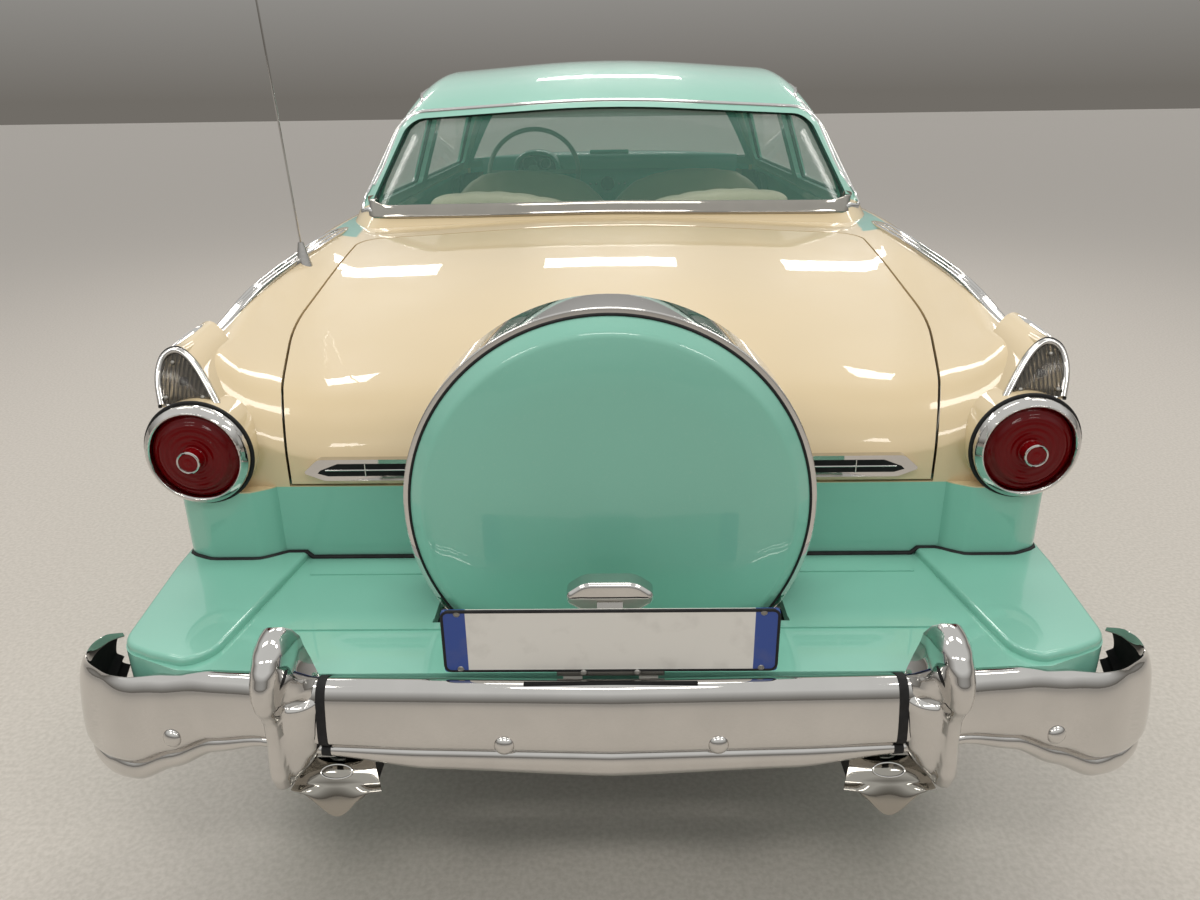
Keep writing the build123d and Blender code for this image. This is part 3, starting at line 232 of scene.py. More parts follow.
def metalFinish(name, colour, roughness, scratch, waviness=0.0):
    metal = Finish(name, colour, {"Metallic": 1.0, "Roughness": roughness})
    metal.feed("Roughness", metal.tone(60, 5, 0.3, 0.75, roughness * 0.7, roughness + scratch, (1, 1, 12)))
    metal.shade(colour, 0.93, 1.0, 14, 3)
    if waviness:
        metal.relief(metal.grain(7, 1), 0.01, waviness)
    return metal.material


def rubberFinish(name, colour, roughness=0.62):
    soft = Finish(name, colour, {"Roughness": roughness, "Specular IOR Level": 0.35})
    soft.shade(colour, 0.7, 1.35, 90, 4)
    soft.feed("Roughness", soft.tone(30, 3, 0.3, 0.7, roughness - 0.1, roughness + 0.12))
    soft.relief(soft.grain(700, 2), 0.0004, 0.25)
    return soft.material


def glassFinish(name, colour, cover):
    pane = Finish(name, colour, {"Roughness": 0.01, "Alpha": cover, "Coat Weight": 1.0, "Coat Roughness": 0.0,
                                 "IOR": 1.5})
    pane.feed("Roughness", pane.tone(6, 4, 0.45, 0.8, 0.005, 0.05))
    return pane.material


def lensFinish(name, colour, centre, rings):
    lens = Finish(name, colour, {"Transmission Weight": 0.30, "Roughness": 0.05, "IOR": 1.32})
    x, _, z = lens.place()
    radius = lens.radius((lens.calc("ABSOLUTE", x), z), centre)
    lens.relief(lens.waves(radius, rings), 0.0012, 0.35)
    # the lens is darkened from its middle to its rim: painted shade
    lens.feed("Base Color", lens.blend(lens.spread(radius, 0.0, 0.09), colour, darker(colour, 0.6)))
    return lens.material


def ribbedGlass(name, colour, scale):
    lens = Finish(name, colour, {"Transmission Weight": 0.9, "Roughness": 0.08, "IOR": 1.45})
    lens.relief(lens.waves(lens.place()[0], scale), 0.0016, 0.6)
    return lens.material


def tyreFinish(name, centre):
    black, white, band = linear(32, 32, 33), linear(226, 224, 214), (0.222, 0.286)
    tyre = Finish(name, black, {"Roughness": 0.7})
    radius = tyre.radius(tyre.place()[1:], centre)
    wall = tyre.calc("MULTIPLY", tyre.spread(radius, band[0], band[0] + 0.002),
                     tyre.spread(radius, band[1], band[1] + 0.002, 1.0, 0.0))
    tone = tyre.tone(60, 4)
    tyre.feed("Base Color", tyre.blend(wall, tyre.blend(tone, darker(black, 0.7), darker(black, 1.3)),
                                       tyre.blend(tone, darker(white, 0.9), white)))
    tyre.relief(tyre.grain(500, 2), 0.0005, 0.3)
    return tyre.material


def wheelFinish(name, centre):
    colour, cap, ring = paints["turquoise"], 0.131, 0.176
    wheel = Finish(name, colour, {"Roughness": 0.25, "Coat Weight": 0.6, "Coat Roughness": 0.05})
    radius = wheel.radius(wheel.place()[1:], centre)
    plated = wheel.calc("MAXIMUM", wheel.spread(radius, cap, cap + 0.001, 1.0, 0.0),
                        wheel.spread(radius, ring, ring + 0.001))
    wheel.feed("Metallic", plated)
    wheel.feed("Base Color", wheel.blend(plated, colour, linear(226, 226, 226)))
    wheel.feed("Roughness", wheel.spread(plated, 0.0, 1.0, 0.3, 0.07))
    return wheel.material


def plateFinish(name):
    white, blue, bandFrom = linear(228, 226, 220), linear(22, 66, 150), 0.222
    enamel = Finish(name, white, {"Roughness": 0.32, "Coat Weight": 0.4, "Coat Roughness": 0.15})
    away = enamel.calc("ABSOLUTE", enamel.place()[0])
    base = enamel.blend(enamel.spread(away, bandFrom, bandFrom + 0.0006), white, blue)
    dirt = enamel.tone(24, 4, 0.55, 0.8, 0.0, 0.2)
    enamel.feed("Base Color", enamel.blend(dirt, base, linear(120, 112, 100)))
    enamel.relief(enamel.grain(900, 1), 0.0002, 0.2)
    return enamel.material


def hideFinish(name, colour):
    vinyl = Finish(name, colour, {"Roughness": 0.45, "Sheen Weight": 0.1})
    vinyl.shade(colour, 0.88, 1.06, 5, 4)
    vinyl.feed("Roughness", vinyl.tone(18, 3, 0.3, 0.7, 0.38, 0.52))
    vinyl.relief(vinyl.made("ShaderNodeTexVoronoi", {"Vector": vinyl.where(), "Scale": 420}), 0.0008, 0.35)
    return vinyl.material


def coarseFinish(name, colour, roughness, scale=160):
    coat = Finish(name, colour, {"Roughness": roughness})
    coat.shade(colour, 0.6, 1.25, 12, 5, 0.3, 0.75)
    coat.relief(coat.grain(scale, 3), 0.0012, 0.3)
    return coat.material


sideLine = [(-2.60, 0.716), (-2.21, 0.716), (-2.16, 0.752), (-1.076, 0.786), (-0.30, 0.800), (0.16, 0.776),
            (0.34, 0.690), (0.50, 0.842), (1.034, 0.866), (1.858, 0.866), (2.44, 0.842), (2.70, 0.815)]
turquoise = paintFinish("turquoiseLacquer", paints["turquoise"])
cream = paintFinish("creamLacquer", paints["cream"])
twoTone = paintFinish("turquoiseBelowCream", paints["turquoise"], paints["cream"], sideLine)
doorPaint = paintFinish("doorLacquer", paints["turquoise"], paints["cream"], sideLine, 1.086)
roofLine = [(-1.50, 1.135), (-1.03, 1.135), (-0.96, 1.100), (-0.55, 1.088), (-0.40, 0.90), (1.40, 0.90)]
roofPaint = paintFinish("turquoiseRoof", paints["cream"], paints["turquoise"], roofLine)
dashPaint = paintFinish("dashboardPaint", paints["dash"])
chrome = metalFinish("polishedChrome", linear(212, 210, 207), 0.035, 0.03, 0.03)
stainless = metalFinish("brightTrim", linear(222, 222, 220), 0.09, 0.06)
# chrome darkened to paint in the dark surroundings it reflects: a painted reflection, used on the rear window
# sill and the exhaust tips
shadedChrome = metalFinish("chromeWithPaintedDarkReflection", linear(168, 164, 156), 0.06, 0.05, 0.05)
steel = metalFinish("underbodySteel", linear(150, 148, 143), 0.38, 0.2)
glass = glassFinish("tintedGlass", linear(96, 150, 132), 0.20)
redLens = lensFinish("redLampGlass", linear(138, 8, 14), (0.772, 0.800), 520)
ribbedLens = ribbedGlass("backupLampGlass", linear(150, 142, 128), 760)
headLens = ribbedGlass("headlampGlass", linear(240, 242, 242), 640)
rubber = rubberFinish("blackRubber", linear(26, 26, 27))
# very dark black: the own colour of the dash knobs and instrument face, and painted shade inside the bumpers,
# in the boot trim slots, on the bumper's top slot and over the backup lamp bulbs
blackAndShade = rubberFinish("blackPaintAndPaintedShade", linear(14, 14, 15), 0.8)
underSeal = coarseFinish("blackUnderseal", linear(34, 34, 34), 0.6)
engineCast = coarseFinish("engineEnamel", linear(134, 36, 28), 0.42)
hide = hideFinish("beigeVinyl", linear(186, 176, 146))
paleHide = hideFinish("creamVinyl", linear(214, 206, 178))
wheelRimPaint = coarseFinish("greenPlastic", linear(126, 146, 130), 0.28, 40)
plateEnamel = plateFinish("plateEnamel")
slotFor = {material.name: slot for slot, group in {
    "chrome": (chrome, stainless, shadedChrome), "tyre": (rubber,), "black_steel": (blackAndShade, underSeal),
    "bare_steel": (steel,), "paint_cream": (cream,), "paint_turquoise": (dashPaint,),
    "lens_clear": (ribbedLens,), "seat_vinyl": (hide, paleHide)}.items() for material in group}
print("finishes made:", len(bpy.data.materials))

floorSize, floorDrop = 60, 0.0005
floorMesh = bpy.data.meshes.new("floor")
corners = [(-floorSize, -floorSize), (floorSize, -floorSize), (floorSize, floorSize), (-floorSize, floorSize)]
floorMesh.from_pydata([(x, y, -floorDrop) for x, y in corners], [], [(0, 1, 2, 3)])
floor = bpy.data.objects.new("floor", floorMesh)
scene.collection.objects.link(floor)
floorFinish = Finish("paleFloor", linear(214, 207, 198), {"Roughness": 0.42})
floorFinish.feed("Base Color", floorFinish.blend(floorFinish.tone(90, 4, 0.35, 0.65), linear(206, 199, 190),
                                                 linear(220, 213, 205)))
floorMesh.materials.append(floorFinish.material)

# ways of making pieces


def settle(obj, body, material, slot=None, cover=True):
    if cover:
        obj.data.materials.clear()
        obj.data.materials.append(material)
    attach(obj, body)
    slot or slotFor[material.name]
    return obj


def added(name, mesh, angle=None):
    if angle:
        mesh.shade_smooth()
        mesh.set_sharp_from_angle(angle=radians(angle))
    obj = bpy.data.objects.new(name, mesh)
    scene.collection.objects.link(obj)
    return obj


def newPiece(name, form, material, body="car", angle=40, bevel=0):
    mesh = bpy.data.meshes.new(name)
    mesh.from_pydata(form[0], [], form[1])
    bm = bmesh.new()
    bm.from_mesh(mesh)
    if bevel:
        bmesh.ops.bevel(bm, geom=bm.edges[:], offset=bevel, segments=3, affect="EDGES", profile=0.5)
    else:
        bmesh.ops.remove_doubles(bm, verts=bm.verts, dist=1e-6)
    bmesh.ops.recalc_face_normals(bm, faces=bm.faces)
    bm.to_mesh(mesh)
    bm.free()
    return settle(added(name, mesh, angle), body, material)


def polished(node, material, name=None, keep=None):   # a smoothed copy of a CAD node that stands for it
    mesh = nodes[node].data.copy()
    bm = bmesh.new()
    bm.from_mesh(mesh)
    if keep:
        bmesh.ops.delete(bm, geom=[f for f in bm.faces if not keep(f.calc_center_median())], context="FACES")
    bmesh.ops.remove_doubles(bm, verts=bm.verts, dist=2e-5)
    bm.to_mesh(mesh)
    bm.free()
    if "custom_normal" in mesh.attributes:
        mesh.attributes.remove(mesh.attributes["custom_normal"])
    obj = settle(added(name or node + "Skin", mesh, 28), bodyOf[node], material, slotOf[node])
    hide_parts(node)


def loft(rows, closed=False, caps=True):
    count, total = len(rows[0]), len(rows)
    faces = []
    for i in range(total if closed else total - 1):
        a, b = i * count, (i + 1) % total * count
        faces += [(a + j, a + (j + 1) % count, b + (j + 1) % count, b + j) for j in range(count)]
    if caps and not closed:
        faces += [tuple(range(count)), tuple(range((total - 1) * count, total * count))]
    return [p for row in rows for p in row], faces


def smoothNormals(normals, closed, times=2):
    for _ in range(times):
        wide = [normals[-1]] + normals + [normals[0]] if closed else [normals[0]] + normals + [normals[-1]]
        normals = [(wide[i] + wide[i + 1] * 2 + wide[i + 2]).normalized() for i in range(len(normals))]
    return normals


def across(path, normals, closed, centre=None):       # the direction across a path at each of its points
    result, total = [], len(path)
    for i, (point, normal) in enumerate(zip(path, normals)):
        before = path[i - 1] if closed or i else path[i]
        after = path[(i + 1) % total] if closed or i < total - 1 else path[i]
        side = (after - before).normalized().cross(normal).normalized()
        result.append(-side if centre is not None and side.dot(point - centre) < 0 else side)
    return result


def strip(name, path, normals, section, material, body="car", closed=False, taper=0, centre=None):
    rows, total = [], len(path)      # normals is one direction, or one for each point
    normals = [normals] * total if isinstance(normals, Vector) else normals
    for i, (point, normal, side) in enumerate(zip(path, normals, across(path, normals, closed, centre))):
        size = max(0.25, min(1.0, sqrt(min(i, total - 1 - i) / taper))) if taper else 1.0
        rows.append([point + side * s * size + normal * n * (size if n > 0 else 1) for s, n in section])
    return newPiece(name, loft(rows, closed), material, body)


def halfRound(width, height, sunk=0.002, steps=8):
    arc = [(cos(pi * i / steps) * width / 2, sin(pi * i / steps) * height) for i in range(steps + 1)]
    return [(width / 2, -sunk)] + arc + [(-width / 2, -sunk)]


def roundSection(radius, steps=10):
    return [(cos(tau * i / steps) * radius, sin(tau * i / steps) * radius) for i in range(steps)]


def crowned(near, far, height, sunk):  # a band from one offset to another, rounded over its edges
    width = far - near
    edge = min(0.004, width * 0.25)
    return [(near, -sunk), (near, height * 0.5), (near + edge * 0.4, height * 0.86), (near + edge, height),
            (near + width * 0.5, height * 1.18), (far - edge, height), (far - edge * 0.4, height * 0.86),
            (far, height * 0.5), (far, -sunk)]


def grooved(width, height, ridges, sunk=0.002):
    half, step, section = width / 2, width / ridges, [(-width / 2, -sunk), (-width / 2, height * 0.45)]
    for i in range(ridges):
        left = -half + i * step
        section += [(left + step * a, height * b) for a, b in ((0.22, 1), (0.50, 1.12), (0.78, 1))]
        if i < ridges - 1:
            section += [(left + step, height * 0.45)]
    return section + [(half, height * 0.45), (half, -sunk)]


def skinOf(*names):
    bm = bmesh.new()
    for name in names:
        bm.from_mesh(nodes[name].data)
    tree = BVHTree.FromBMesh(bm)
    bm.free()
    return tree


def castOn(tree, start, direction):
    place, normal, _, _ = tree.ray_cast(Vector(start), Vector(direction))
    if place is None:
        return None, None
    return place, -normal if normal.dot(Vector(direction)) > 0 else normal


def lineOn(tree, starts, direction):
    hits = [hit for hit in (castOn(tree, start, direction) for start in starts) if hit[0] is not None]
    return [h[0] for h in hits], smoothNormals([h[1] for h in hits], False)


def spaced(points, step):            # points along a chain of straight runs, about a step apart
    chain = [Vector(p) for p in points]
    result = []
    for a, b in zip(chain, chain[1:]):
        count = max(1, round((b - a).length / step))
        result += [a.lerp(b, i / count) for i in range(count)]
    return result + [chain[-1]]


def curvedThrough(points, step):     # the same with its corners rounded by a spline through them
    chain = [Vector(p) for p in points]
    chain = [chain[0] * 2 - chain[1]] + chain + [chain[-1] * 2 - chain[-2]]
    result = []
    for i in range(1, len(chain) - 2):
        p0, p1, p2, p3 = chain[i - 1:i + 3]
        count = max(2, round((p2 - p1).length / step))
        for j in range(count):
            t = j / count
            result.append(0.5 * (2 * p1 + (p2 - p0) * t + (2 * p0 - 5 * p1 + 4 * p2 - p3) * t * t
                                 + (3 * p1 - p0 - 3 * p2 + p3) * t ** 3))
    return result + [chain[-2]]


def paneRims(name, heart=Vector((0, 0.25, 0.85))):    # the edges of a pane's outer faces, in rings
    bm = bmesh.new()
    bm.from_mesh(nodes[name].data)
    bmesh.ops.remove_doubles(bm, verts=bm.verts, dist=1e-5)
    bm.normal_update()
    outer = {f.index for f in bm.faces if f.normal.dot((f.calc_center_median() - heart).normalized()) > 0.3}
    joined = {}
    for edge in bm.edges:
        faces = [f for f in edge.link_faces if f.index in outer]
        if len(faces) == 1:
            for here, there in (edge.verts, reversed(edge.verts)):
                joined.setdefault(here.index, []).append((there.index, faces[0].normal.copy()))
    bm.verts.ensure_lookup_table()
    rings, left = [], set(joined)
    while left:
        start = left.pop()
        ring, here, came = [start], start, None
        while True:
            ahead = [v for v, _ in joined[here] if v != came and (v in left or (v == start and len(ring) > 3))]
            if not ahead or ahead[0] == start:
                break
            came, here = here, ahead[0]
            left.discard(here)
            ring.append(here)
        if len(ring) > 8:
            rings.append([(bm.verts[v].co.copy(), joined[v][0][1]) for v in ring])
    bm.free()
    return rings


def evenRing(ring, step):
    points, normals = ([pair[k] for pair in ring + ring[:1]] for k in (0, 1))
    lengths = [(b - a).length for a, b in zip(points, points[1:])]
    total = sum(lengths)
    count = max(12, round(total / step))
    spots, ups, walked, i = [], [], 0.0, 0
    for k in range(count):
        goal = total * k / count
        while walked + lengths[i] < goal:
            walked += lengths[i]
            i += 1
        t = (goal - walked) / max(lengths[i], 1e-9)
        spots.append(points[i].lerp(points[i + 1], t))
        ups.append(normals[i].lerp(normals[i + 1], t).normalized())
    return spots, smoothNormals(ups, True, 3)


def ringPath(centre, radius, steps, y):               # a circle that faces rearward
    path = [Vector((centre[0] + cos(tau * i / steps) * radius, y, centre[1] + sin(tau * i / steps) * radius))
            for i in range(steps)]
    return path, rearward


def eased(low, high, value):
    t = min(1.0, max(0.0, (value - low) / (high - low)))
    return t * t * (3 - 2 * t)


def studsTree():
    group = bpy.data.node_groups.new("domedHeads", "GeometryNodeTree")
    inputs = {"Geometry": "Geometry", "Radius": "Float", "Height": "Float", "Finish": "Material"}
    for name, kind in inputs.items():
        group.interface.new_socket(name, in_out="INPUT", socket_type="NodeSocket" + kind)
    group.interface.new_socket("Geometry", in_out="OUTPUT", socket_type="NodeSocketGeometry")
    tree = Nodes(group)
    given = tree.add("NodeGroupInput").outputs
    ball = tree.made("GeometryNodeMeshUVSphere", {"Segments": 20, "Rings": 10, "Radius": 1.0})
    size = tree.made("ShaderNodeCombineXYZ", {0: given["Radius"], 1: given["Radius"], 2: given["Height"]})
    head = tree.made("GeometryNodeTransform", {"Geometry": ball, "Scale": size})
    facing = tree.made("GeometryNodeInputNamedAttribute", {"Name": "facing"}, data_type="FLOAT_VECTOR")
    turned = tree.made("FunctionNodeAlignRotationToVector", {"Vector": facing}, axis="Z")
    placed = tree.made("GeometryNodeInstanceOnPoints",
                       {"Points": given[0], "Instance": head, "Rotation": turned})
    real = tree.made("GeometryNodeRealizeInstances", {0: placed})
    smooth = tree.made("GeometryNodeSetShadeSmooth", {0: real})
    done = tree.made("GeometryNodeSetMaterial", {"Geometry": smooth, "Material": given["Finish"]})
    tree.add("NodeGroupOutput", {0: done})
    return group


domedHeads = studsTree()


def evaluated(obj):                  # the mesh that an object's modifiers make of it
    depsgraph = bpy.context.evaluated_depsgraph_get()
    mesh = bpy.data.meshes.new_from_object(obj.evaluated_get(depsgraph), depsgraph=depsgraph)
    obj.modifiers.clear()
    obj.data = mesh
    return mesh


def studs(name, spots, radius, height, material, body="car"):
    mesh = bpy.data.meshes.new(name)
    mesh.from_pydata([p for p, _ in spots], [], [])
    facing = mesh.attributes.new("facing", "FLOAT_VECTOR", "POINT")
    facing.data.foreach_set("vector", [c for _, n in spots for c in n])
    obj = added(name, mesh)
    grower = obj.modifiers.new("heads", "NODES")
    grower.node_group = domedHeads
    values = {"Radius": radius, "Height": height, "Finish": material}
    for item in domedHeads.interface.items_tree:
        if item.in_out == "INPUT" and item.name in values:
            grower[item.identifier] = values[item.name]
    evaluated(obj)
    settle(obj, body, material, cover=False)


# finishes on the CAD nodes
panels = {"body_shell": twoTone, "roof": roofPaint, "bonnet": cream, "boot_lid": cream,
          "front_fender_left": twoTone, "front_fender_right": twoTone, "nose_panel": twoTone,
          "door_left": doorPaint, "door_right": doorPaint, "kit_disc": turquoise, "kit_pan": turquoise,
          "kit_ring": chrome, "exhaust": steel,
          "plate_lamp": chrome, "aerial": chrome, "boot_trim": chrome, "dashboard": dashPaint,
          "steering_wheel": wheelRimPaint, "headlamps": headLens}
for name, material in panels.items():
    polished(name, material)
kept = ((chrome, "grille"), (glass, "door_glass_left door_glass_right windscreen rear_window quarter_windows"),
        (underSeal, "floor_pan frame engine_bay rear_axle front_suspension fuel_tank spare_bracket"),
        (engineCast, "engine"), (steel, "driveline knuckle_left knuckle_right"), (rubber, "spare_wheel"),
        (plateEnamel, "number_plate"))
for material, names in kept:
    for slot in (slot for name in names.split() for slot in nodes[name].material_slots):
        slot.material = material
for end, axle in (("front", frontAxle), ("rear", rearAxle)):
    tyreRubber = tyreFinish(end + "TyreRubber", (axle, axleHeight))
    rimPaint = wheelFinish(end + "WheelPaint", (axle, axleHeight))
    for _, word in sides:
        polished(f"tyre_{end}_{word}", tyreRubber)
        polished(f"wheel_{end}_{word}", rimPaint)
print("panels finished")

# window rubbers and bright frames: for each pane the frame's offset, width and height
windowTrim = {"rubber": 0.007, "step": 0.02, "sunk": 0.004, "cast": 0.08, "reach": 0.12}
panes = {"rear_window": ("car", 0.006, 0.018, 0.006), "windscreen": ("car", 0.008, 0.018, 0.006),
         "quarter_windows": ("car", 0.010, 0.012, 0.004), "door_glass_left": ("door_left", 0.010, 0.012, 0.004),
         "door_glass_right": ("door_right", 0.010, 0.012, 0.004)}
for pane, (body, offset, width, height) in panes.items():
    skin = skinOf("roof", "body_shell") if body == "car" else skinOf(body)
    for i, ring in enumerate(paneRims(pane)):
        path, normals = evenRing(ring, windowTrim["step"])
        centre = sum(path, Vector()) / len(path)
        strip(f"{pane}_rubber{i}", path, normals, roundSection(windowTrim["rubber"]), rubber, body, True)
        spots = []
        for point, normal, side in zip(path, normals, across(path, normals, True, centre)):
            goal = point + side * offset
            hit, _, _, distance = skin.ray_cast(goal + normal * windowTrim["cast"], -normal)
            spots.append(hit if hit is not None and distance < windowTrim["reach"] else goal)
        section = halfRound(width, height, windowTrim["sunk"])
        strip(f"{pane}_frame{i}", spots, normals, section, stainless, body, True)
print("window trims made")


def sideCast(skin, side, spots, away=1.5):            # points on a side of the car, given by y and z
    return lineOn(skin, [Vector((side * away, y, z)) for y, z in spots], (-side, 0, 0))


def heightAt(y):                     # of the side moulding
    for (ya, za), (yb, zb) in zip(sideLine, sideLine[1:]):
        if ya <= y <= yb:
            return za + (zb - za) * (y - ya) / (yb - ya)


# mouldings on the body's sides, drip rails and door handles
moulding = {"section": (0.026, 0.008), "step": 0.03, "ends": (-2.18, 2.46)}
dripRail = {"line": [(0, -0.42, 1.424), (0, -0.1, 1.428), (0, 0.4, 1.428), (0, 0.90, 1.424)], "step": 0.03,
            "section": (0.012, 0.011, 0.004)}
handle = {"y": -0.035, "z": 0.945, "step": 0.0075, "points": 25, "stand": 0.026, "radius": 0.0085,
          "buttonY": -0.052, "button": (0.013, 0.012)}
for side, word in sides:
    doorLow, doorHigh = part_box(f"door_{word}")
    runs = {"quarter": ("body_shell", "car", moulding["ends"][0], doorLow.y - 0.004),
            "door": (f"door_{word}", f"door_{word}", doorLow.y + 0.006, doorHigh.y - 0.006),
            "fender": (f"front_fender_{word}", "car", doorHigh.y + 0.004, moulding["ends"][1])}
    for part, (node, body, yFrom, yTo) in runs.items():
        corners = [(y, z) for y, z in sideLine if yFrom < y < yTo]
        chain = [(yFrom, heightAt(yFrom))] + corners + [(yTo, heightAt(yTo))]
        spots = [(p.y, p.z) for p in spaced([(0, y, z) for y, z in chain], moulding["step"])]
        strip(f"side_moulding_{part}_{word}", *sideCast(skinOf(node), side, spots),
              halfRound(*moulding["section"]), stainless, body)
for side, word in sides:
    spots = [(p.y, p.z) for p in curvedThrough(dripRail["line"], dripRail["step"])]
    strip(f"drip_rail_{word}", *sideCast(skinOf("roof"), side, spots, 1.2),
          halfRound(*dripRail["section"]), stainless, taper=2)
    door, skin = f"door_{word}", skinOf(f"door_{word}")
    path, normals = sideCast(skin, side, [(handle["y"] + handle["step"] * k, handle["z"])
                                          for k in range(handle["points"])])
    raised = [p + n * handle["stand"] * max(0.0, sin(pi * k / (len(path) - 1))) ** 0.4
              for k, (p, n) in enumerate(zip(path, normals))]
    strip(f"door_handle_{word}", raised, normals, roundSection(handle["radius"], 14), chrome, door)
    spot = castOn(skin, (side * 1.5, handle["buttonY"], handle["z"]), (-side, 0, 0))
    studs(f"door_button_{word}", [spot], *handle["button"], chrome, door)
print("side mouldings made")

# bright strips along the rear wing tops
wingStrip = {"section": (0.034, 0.007, 3), "step": 0.03, "above": 1.6,
             "line": [(0.779, -1.100), (0.800, -1.40), (0.822, -1.80), (0.836, -2.10), (0.836, -2.165)]}
bodySkin = skinOf("body_shell")
for side, word in sides:
    starts = curvedThrough([(side * x, y, wingStrip["above"]) for x, y in wingStrip["line"]], wingStrip["step"])
    strip(f"wing_strip_{word}", *lineOn(bodySkin, starts, (0, 0, -1)), grooved(*wingStrip["section"]), chrome,
          taper=3)

# the wide bright sill over the lower edge of the rear window
windowSill = {"section": (-0.026, 0.026, 0.010, 0.016), "below": 1.118, "lift": 0.012}
path, normals = evenRing(max(paneRims("rear_window"), key=len), windowTrim["step"])
sillCentre = sum(path, Vector()) / len(path)
low = sorted([(p + n * windowSill["lift"], n) for p, n in zip(path, normals) if p.z < windowSill["below"]],
             key=lambda hit: hit[0].x)
# the sill's chrome is darkened: a painted dark reflection
strip("rear_window_sill_trim", [p for p, _ in low], smoothNormals([n for _, n in low], False, 4),
      crowned(*windowSill["section"]), shadedChrome, centre=sillCentre)
print("wing strips made")

# tail lamps: each ring's radius, points, y, thickness and corners
tail = {"x": 0.772, "z": 0.800, "foremost": -2.24, "screwCircle": 0.070, "screwAngles": (1.15, -0.35),
        "screwY": -2.2735, "screw": (0.0035, 0.002), "rings": (
            ("gasket", 0.1002, 96, -2.2605, 0.0034, 10, rubber),
            ("boss_rim", 0.0195, 40, -2.310, 0.0022, 8, chrome),
            ("lens_seal", 0.0835, 96, -2.262, 0.0022, 8, rubber))}
# the backup lamps over them: each row is how proud of the leaning face, and how large about the heart
backup = {"lean": Vector((0, -0.852, 0.523)), "slope": 0.6136, "foot": (-2.2285, 0.894),
          "heart": (0.797, 0.918), "step": 0.006, "gasket": (0.0, 1.05), "frame": (0.0, 0.955),
          "frameSection": (0.014, 0.010, 0.006, 10), "gasketRadius": 0.0034,
          "plate": ((-0.002, 1.0), (0.0002, 0.96)),
          "lens": ((0.0005, 0.90), (0.004, 0.88), (0.007, 0.70), (0.009, 0.40), (0.0095, 0.10)),
          "bulb": (0.800, 0.925, 0.001), "bulbSize": (0.009, 0.007), "screwSize": (0.0042, 0.0026),
          "screws": ((0.760, 0.897, 0.008), (0.829, 0.897, 0.008), (0.822, 0.955, 0.008)), "arch": [
              (0.731, 0.884), (0.757, 0.922), (0.781, 0.953), (0.804, 0.973), (0.824, 0.979), (0.843, 0.969),
              (0.851, 0.947), (0.850, 0.920), (0.840, 0.884)]}
housing = {"face": (-0.0008, 1.01), "wall": 0.84, "narrowing": 0.02, "rise": 0.10,
           "rows": ((0.0, 1.0), (0.02, 1.0), (0.06, 0.99), (0.16, 0.93))}
archOutline = [(p.x, p.z) for p in curvedThrough([(x, 0, z) for x, z in backup["arch"]], backup["step"])]
for node, material, name in (("tail_lamp_lenses", redLens, "tail_lamp_red_lenses"),
                             ("tail_lamp_rings", chrome, "tail_lamp_bezels")):
    polished(node, material, name, lambda centre: centre.y < tail["foremost"])


def archSpot(side, x, z, proud, grow=1.0):      # a point over the leaning face of the lamp housing
    hx, hz = backup["heart"]
    x, z = hx + (x - hx) * grow, hz + (z - hz) * grow
    y = backup["foot"][0] + (z - backup["foot"][1]) * backup["slope"]
    return Vector((side * x, y, z)) + backup["lean"] * proud


def archRing(side, row):
    return [archSpot(side, x, z, *row) for x, z in archOutline]


for side, word in sides:
    for part, radius, steps, y, thick, corners, material in tail["rings"]:
        strip(f"tail_lamp_{part}_{word}", *ringPath((side * tail["x"], tail["z"]), radius, steps, y),
              roundSection(thick, corners), material, closed=True)
    lean = backup["lean"]
    strip(f"backup_lamp_frame_{word}", archRing(side, backup["frame"]), lean,
          halfRound(*backup["frameSection"]), chrome)
    strip(f"backup_lamp_gasket_{word}", archRing(side, backup["gasket"]), lean,
          roundSection(backup["gasketRadius"]), rubber)
    for part, material in (("lens", ribbedLens), ("plate", stainless)):
        newPiece(f"backup_lamp_{part}_{word}", loft([archRing(side, row) for row in backup[part]]), material)
    # a dark dome under the lens: painted shade inside the lamp where the bulb sits
    studs(f"backup_lamp_bulb_{word}", [(archSpot(side, *backup["bulb"]), lean)], *backup["bulbSize"],
          blackAndShade)
    studs(f"backup_lamp_screws_{word}", [(archSpot(side, *spot), lean) for spot in backup["screws"]],
          *backup["screwSize"], steel)
    wall, rows = housing["wall"], []
    for ahead, inner in housing["rows"]:
        rows.append([Vector((side * (wall + (abs(p.x) - wall) * inner) if abs(p.x) < wall
                             else p.x * (1 - housing["narrowing"] * ahead), p.y + ahead,
                             p.z + housing["rise"] * ahead)) for p in archRing(side, housing["face"])])
    newPiece(f"lamp_housing_{word}", loft(rows), cream, angle=50)
    spots = [Vector((side * (tail["x"] + tail["screwCircle"] * cos(a)), tail["screwY"],
                     tail["z"] + tail["screwCircle"] * sin(a))) for a in tail["screwAngles"]]
    studs(f"tail_lamp_screws_{word}", [(spot, rearward) for spot in spots], *tail["screw"], steel)

